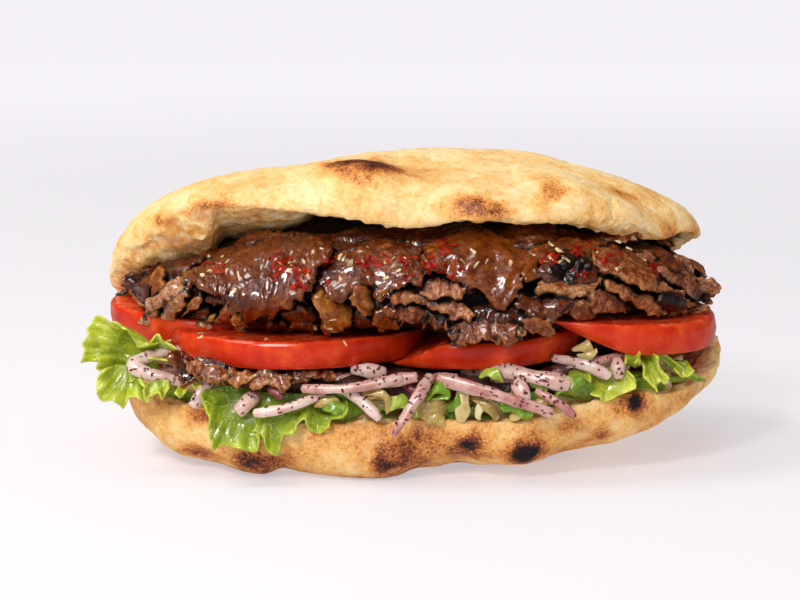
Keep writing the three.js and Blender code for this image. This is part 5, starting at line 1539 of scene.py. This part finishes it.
# The dark upper layer under the lid: column and row of the view, long, wide, turn, out, tint, light, glaze.
UPPER_LAYER = (
    (250, 245, 34, 8, 16, -0.6, 0.6, 0.3, 0.5), (335, 239, 36, 8, 8, -0.8, 0.5, 0.25, 0.4),
    (395, 240, 40, 11, 3, 0.6, 0.4, 0.2, 0.6), (548, 243, 34, 12, -6, 1.0, 0.3, 0.25, 0.4),
    (450, 244, 26, 12, 8, 1.0, 0.6, 0.2, 0.6), (600, 247, 30, 11, -8, 1.2, 0.3, 0.2, 0.4),
    (640, 258, 26, 12, -22, 1.6, 0.2, 0.3, 0.3),
)
for i, (column, row, long, wide, turn, out, tint, light, glaze) in enumerate(UPPER_LAYER):
    spot, way = sight_spot(column, row)
    slices_made.append(shaved_slice(spot, way, long, wide, turn, seed=100 + i, out=out, tint=tint,
                                    light=light, glaze=glaze))

# Crumbs and torn shreds caught among the slices.
random = np.random.default_rng(21)
for i in range(46):
    column, row = random.uniform(150, 700), 316 - 40 * random.random()
    spot, way = sight_spot(column, row)
    long, wide = random.uniform(2.4, 7), random.uniform(1.4, 3.0)
    look = dict(out=random.uniform(1.4, 3.4), tint=random.uniform(0.05, 0.7), glaze=random.uniform(0.4, 0.9),
                thick=random.uniform(1.0, 1.8), rough=random.uniform(0.8, 1.8))
    turn = random.uniform(-60, 60)
    if spot is not None:
        slices_made.append(shaved_slice(spot, way, long, wide, turn, seed=130 + i, light=0.3, blunt=True,
                                        ragged=0.8, fine=0.95, **look))
front_count = len(slices_made)

# The heap's back and ends. Slices low down lean out like shelves, but less so close to the fold of the bread.
random = np.random.default_rng(12)
for i in range(64):
    angle = math.radians(-14 + 208 * ((i * 0.618034) % 1))
    level = random.uniform(0.05, 1.25)
    near, way = nearest_on_mound(Vector(mound_point(np.array(angle), np.array(level))))
    low = level < 0.45
    if near.y < 6 and (near.z < 58 and not -60 < near.x < 78 or near.z > 50 and near.x < -48):
        continue
    slices_made.append(shaved_slice(
        near, way, random.uniform(20, 38) * (0.6 if abs(near.x) > 72 else 1), random.uniform(9, 17),
        random.uniform(-28, 28), seed=60 + i,
        lean=(random.uniform(30, 60) if low else random.uniform(5, 20)) * (0.25 if near.y > 12 else 1),
        out=random.uniform(1.8, 3.4),
        tint=random.uniform(0.05, 0.6), glaze=random.uniform(0.15, 0.8), ragged=random.uniform(0.9, 1.8),
        char=0.7 if random.random() < 0.1 else 0, fine=1.6))

# The heap's right end, seen through the gap of the bread: degrees round the mound, and the rise.
RIGHT_END = ((-6, 0.2), (10, 0.35), (26, 0.2), (2, 0.75), (20, 0.85), (38, 0.5), (4, 0.5))
for i, (angle, level) in enumerate(RIGHT_END):
    near, way = nearest_on_mound(Vector(mound_point(np.array(math.radians(angle)), np.array(level))))
    slices_made.append(shaved_slice(near, way, 22, 13, 12 * (-1) ** i, seed=180 + i, lean=14,
                                    out=1.6 + 0.3 * (i % 3), tint=0.3, glaze=0.4, light=0.6, ragged=1.4,
                                    rough=1.3, fine=1.5))

# Ways to look around from a point for what lies close over it: a spiral from straight up to nearly level.
LOOK_COUNT, GOLDEN_TURN = 14, 2.39996
look_turns = np.arange(LOOK_COUNT) * GOLDEN_TURN
look_tilts = np.arccos(1 - (np.arange(LOOK_COUNT) + 0.5) / LOOK_COUNT * 0.92)
LOOKS = [Vector((math.cos(t) * math.sin(h), math.sin(t) * math.sin(h), math.cos(h)))
         for t, h in zip(look_turns, look_tilts)]


def paint_hollow_shade(piece, others, reach=9.0):
    """Writes how deep in a hollow each point lies, for the painted shade that darkens the meat there."""
    tree = surface_tree(piece, *others)
    points, facing = coordinates(piece), normals(piece)
    hollow = np.empty(len(points))
    for i, (p, n) in enumerate(zip(points, facing)):
        start, up = Vector(p + n * 0.25), Vector(n)
        turn = Vector((0, 0, 1)).rotation_difference(up)
        total = 0.0
        for look in LOOKS:
            gap = tree.ray_cast(start, turn @ look, reach)[3]
            if gap is not None:
                total += 1 - 0.5 * gap / reach
        hollow[i] = total / len(LOOKS)
    set_attribute(piece, "hollow", hollow)


def thicken_slices(pieces, name):
    meat = join(pieces)
    meat.name = name
    apply_modifier(meat, "SOLIDIFY", thickness=THICKEST_SLICE * MM, offset=0, vertex_group="thick",
                   use_rim=True)
    return meat


def roughen_slices(meat):
    """Rounds the slices' edges and gives them the meat's own grain."""
    apply_modifier(meat, "SUBSURF", levels=1, render_levels=1)
    points, facing = coordinates(meat), normals(meat)
    count = len(points)
    glaze, rim, rough, char, grain = (np.empty(count * n) for n in (1, 1, 1, 1, 3))
    for key, into in (("glaze", glaze), ("rim", rim), ("rough", rough), ("char", char)):
        meat.data.attributes[key].data.foreach_get("value", into)
    meat.data.attributes["grain"].data.foreach_get("vector", grain)
    grain = grain.reshape(-1, 3)
    fibres = lumps(grain * (0.22, 1, 1), 1.3, 71)
    clots = 0.8 * lumps(points, 2.4, 72) + 0.6 * lumps(points, 1.4, 73)
    clots += 0.7 * np.clip(lumps(points, 3.4, 75), -1, 0)
    slanted = np.stack([grain[:, 0] * 0.8 - grain[:, 1] * 0.6,
                        (grain[:, 0] * 0.6 + grain[:, 1] * 0.8) * 0.36, grain[:, 2]], 1)
    runs = 1 - 2.4 * np.abs(lumps(slanted, 2.1, 74))
    wet = np.clip(glaze - 0.6, 0, 1) / 0.4
    relief = (0.5 - 0.4 * glaze) * fibres + rough * (0.24 + 0.26 * rim ** 3) * clots + 0.72 * wet * runs
    relief += (0.17 + 0.4 * rim ** 6) * lumps(points, 1.1, 76) + 0.42 * char * lumps(points, 0.9, 77)
    set_coordinates(meat, points + facing * relief[:, None])


front_meat = thicken_slices(slices_made[:front_count], "meat_slices_front")
back_meat = thicken_slices(slices_made[front_count:], "meat_slices_around")
paint_hollow_shade(front_meat, (back_meat, core))
paint_hollow_shade(back_meat, (front_meat, core))
roughen_slices(front_meat)
roughen_slices(back_meat)

# The mound under the slices is painted near black, as the shade in the gaps between them.
dark, tree, shader, place = new_material("heap_core_painted_shade")
painted_gap_shade = ramp(tree, noise(tree, place, 3, 4, 0.65), (0.35, (18, 8, 5)), (0.6, (44, 20, 12)),
             (0.8, (70, 38, 24)))
tree.links.new(painted_gap_shade, shader.inputs["Base Color"])
shader.inputs["Roughness"].default_value = 0.4
add_bump(tree, shader, noise(tree, place, 1.6, 3, 0.6), 0.6, 0.8)
core.data.materials.append(dark)
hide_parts("meat_heap")
for piece in (front_meat, back_meat, core):
    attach(piece, "root")

# ------------------------
# Slipped meat: a few paler slices that slid down between the tomato and the onions at the front left.
# They are made like the heap's slices, flat and ragged, with their torn front edges showing.
# ------------------------
# Written like SHEETS.
SLIPPED = (
    ((186,356, 215,361, 250,365, 290,367, 330,366, 334,374, 290,377, 250,376, 215,372, 192,368),
     dict(depth=-47, light=0.25, lean=2)),
    ((284,371, 300,370, 314,371, 326,371, 335,373, 332,378, 322,380, 312,380, 302,383, 294,385, 288,382),
     dict(light=0.6)),
    ((221,371, 234,369, 248,370, 257,374, 254,380, 246,384, 238,385, 230,382, 222,381),
     dict(light=0.9, tint=0.5)),
    ((187,360, 200,363, 214,366, 226,369, 230,374, 222,380, 214,378, 204,380, 196,382, 190,376, 187,368),
     dict(light=0.7)),
    ((254,371, 268,369, 282,371, 291,376, 288,383, 283,390, 276,388, 270,384, 262,387, 255,389, 249,386,
      252,379), dict(light=0.75)),
    ((170,352, 176,349, 184,355, 190,361, 197,368, 200,375, 196,380, 188,384, 181,385, 179,378, 182,372,
      175,368, 171,360), dict(light=0.35, glaze=0.8, rough=2.2)),
)
SLIPPED_LOOK = dict(depth=-51, lean=3, thick=1.8, tint=0.2, glaze=0.5, fringe=3.5, wavy=0.9, blunt=True,
                    fine=0.8)
slipped = [meat_sheet(outline, lift=0.4 * i, seed=200 + i, **{**SLIPPED_LOOK, **more})
           for i, (outline, more) in enumerate(SLIPPED)]
slipped = thicken_slices(slipped, "meat_slipped_slices")
paint_hollow_shade(slipped, (slices["tomato_front_left"], layer), 7.0)
roughen_slices(slipped)
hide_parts("meat_slipped")
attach(slipped, "root")

# ------------------------
# Seasoning on the meat: dried oregano in pale olive slivers, and red chili flakes in loose clusters.
# Each flake is a small crooked chip that lies on the slice under it.
# ------------------------
meat_tree = surface_tree(front_meat, back_meat, *slices.values())
# Clusters in the view: column, row, spread and number.
CHILI_CLUSTERS = (
    (218, 265, 10, 10), (283, 262, 9, 16), (297, 272, 9, 14), (298, 287, 6, 12), (280, 274, 8, 8),
    (364, 262, 8, 7), (382, 262, 8, 7), (408, 258, 8, 8), (430, 264, 12, 15), (446, 246, 8, 9),
    (452, 268, 14, 9), (549, 259, 8, 16), (580, 250, 10, 12), (610, 256, 12, 10), (658, 270, 8, 7),
    (330, 270, 20, 8), (580, 272, 8, 5), (404, 276, 12, 6),
)
HERB_CLUSTERS = (
    (214, 266, 20, 9), (292, 262, 26, 9), (352, 264, 26, 12), (400, 266, 18, 5), (560, 256, 24, 8),
    (620, 260, 26, 8), (480, 262, 34, 6), (240, 318, 24, 3), (205, 330, 12, 6), (330, 332, 20, 6),
)


def flake_spots(clusters, seed):
    """Places on the meat, with its facing, round the middles of the clusters."""
    random = np.random.default_rng(seed)
    spots = []
    for column, row, spread_out, count in clusters:
        for _ in range(count):
            across, down = random.normal(0, 0.6, 2) * spread_out
            place, way, _, _ = meat_tree.ray_cast(EYE, aim(column + across, row + down * 0.7))
            if place and place.z > 36:
                spots.append((np.array(place), way if way.dot(EYE - place) > 0 else -way))
    return spots


def on_top(points, facing):
    return (facing[:, 2] > 0.25) * (points[:, 2] > 50)


# Long, wide and thick.
CHILI_FLAKE, HERB_FLAKE = (2.1, 1.35, 0.45), (2.3, 1.0, 0.3)
chili = scatter_flakes("chili_flakes",
                       flake_spots(CHILI_CLUSTERS, 8) + random_spots(back_meat, 90, 9, on_top), CHILI_FLAKE,
                       10)
herbs = scatter_flakes("oregano", flake_spots(HERB_CLUSTERS, 18) + random_spots(back_meat, 70, 19, on_top),
                       HERB_FLAKE, 20)
chili_colours = ((0.35, (104, 7, 1)), (0.6, (166, 28, 2)), (0.8, (212, 82, 8)))
chili.data.materials.append(flake_material("chili_flake", 2, chili_colours, shine=0.1))
herb_colours = ((0.35, (150, 124, 70)), (0.55, (218, 192, 142)), (0.75, (246, 234, 206)))
herbs.data.materials.append(flake_material("dried_oregano", 3, herb_colours))
for piece in (chili, herbs):
    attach(piece, "root")
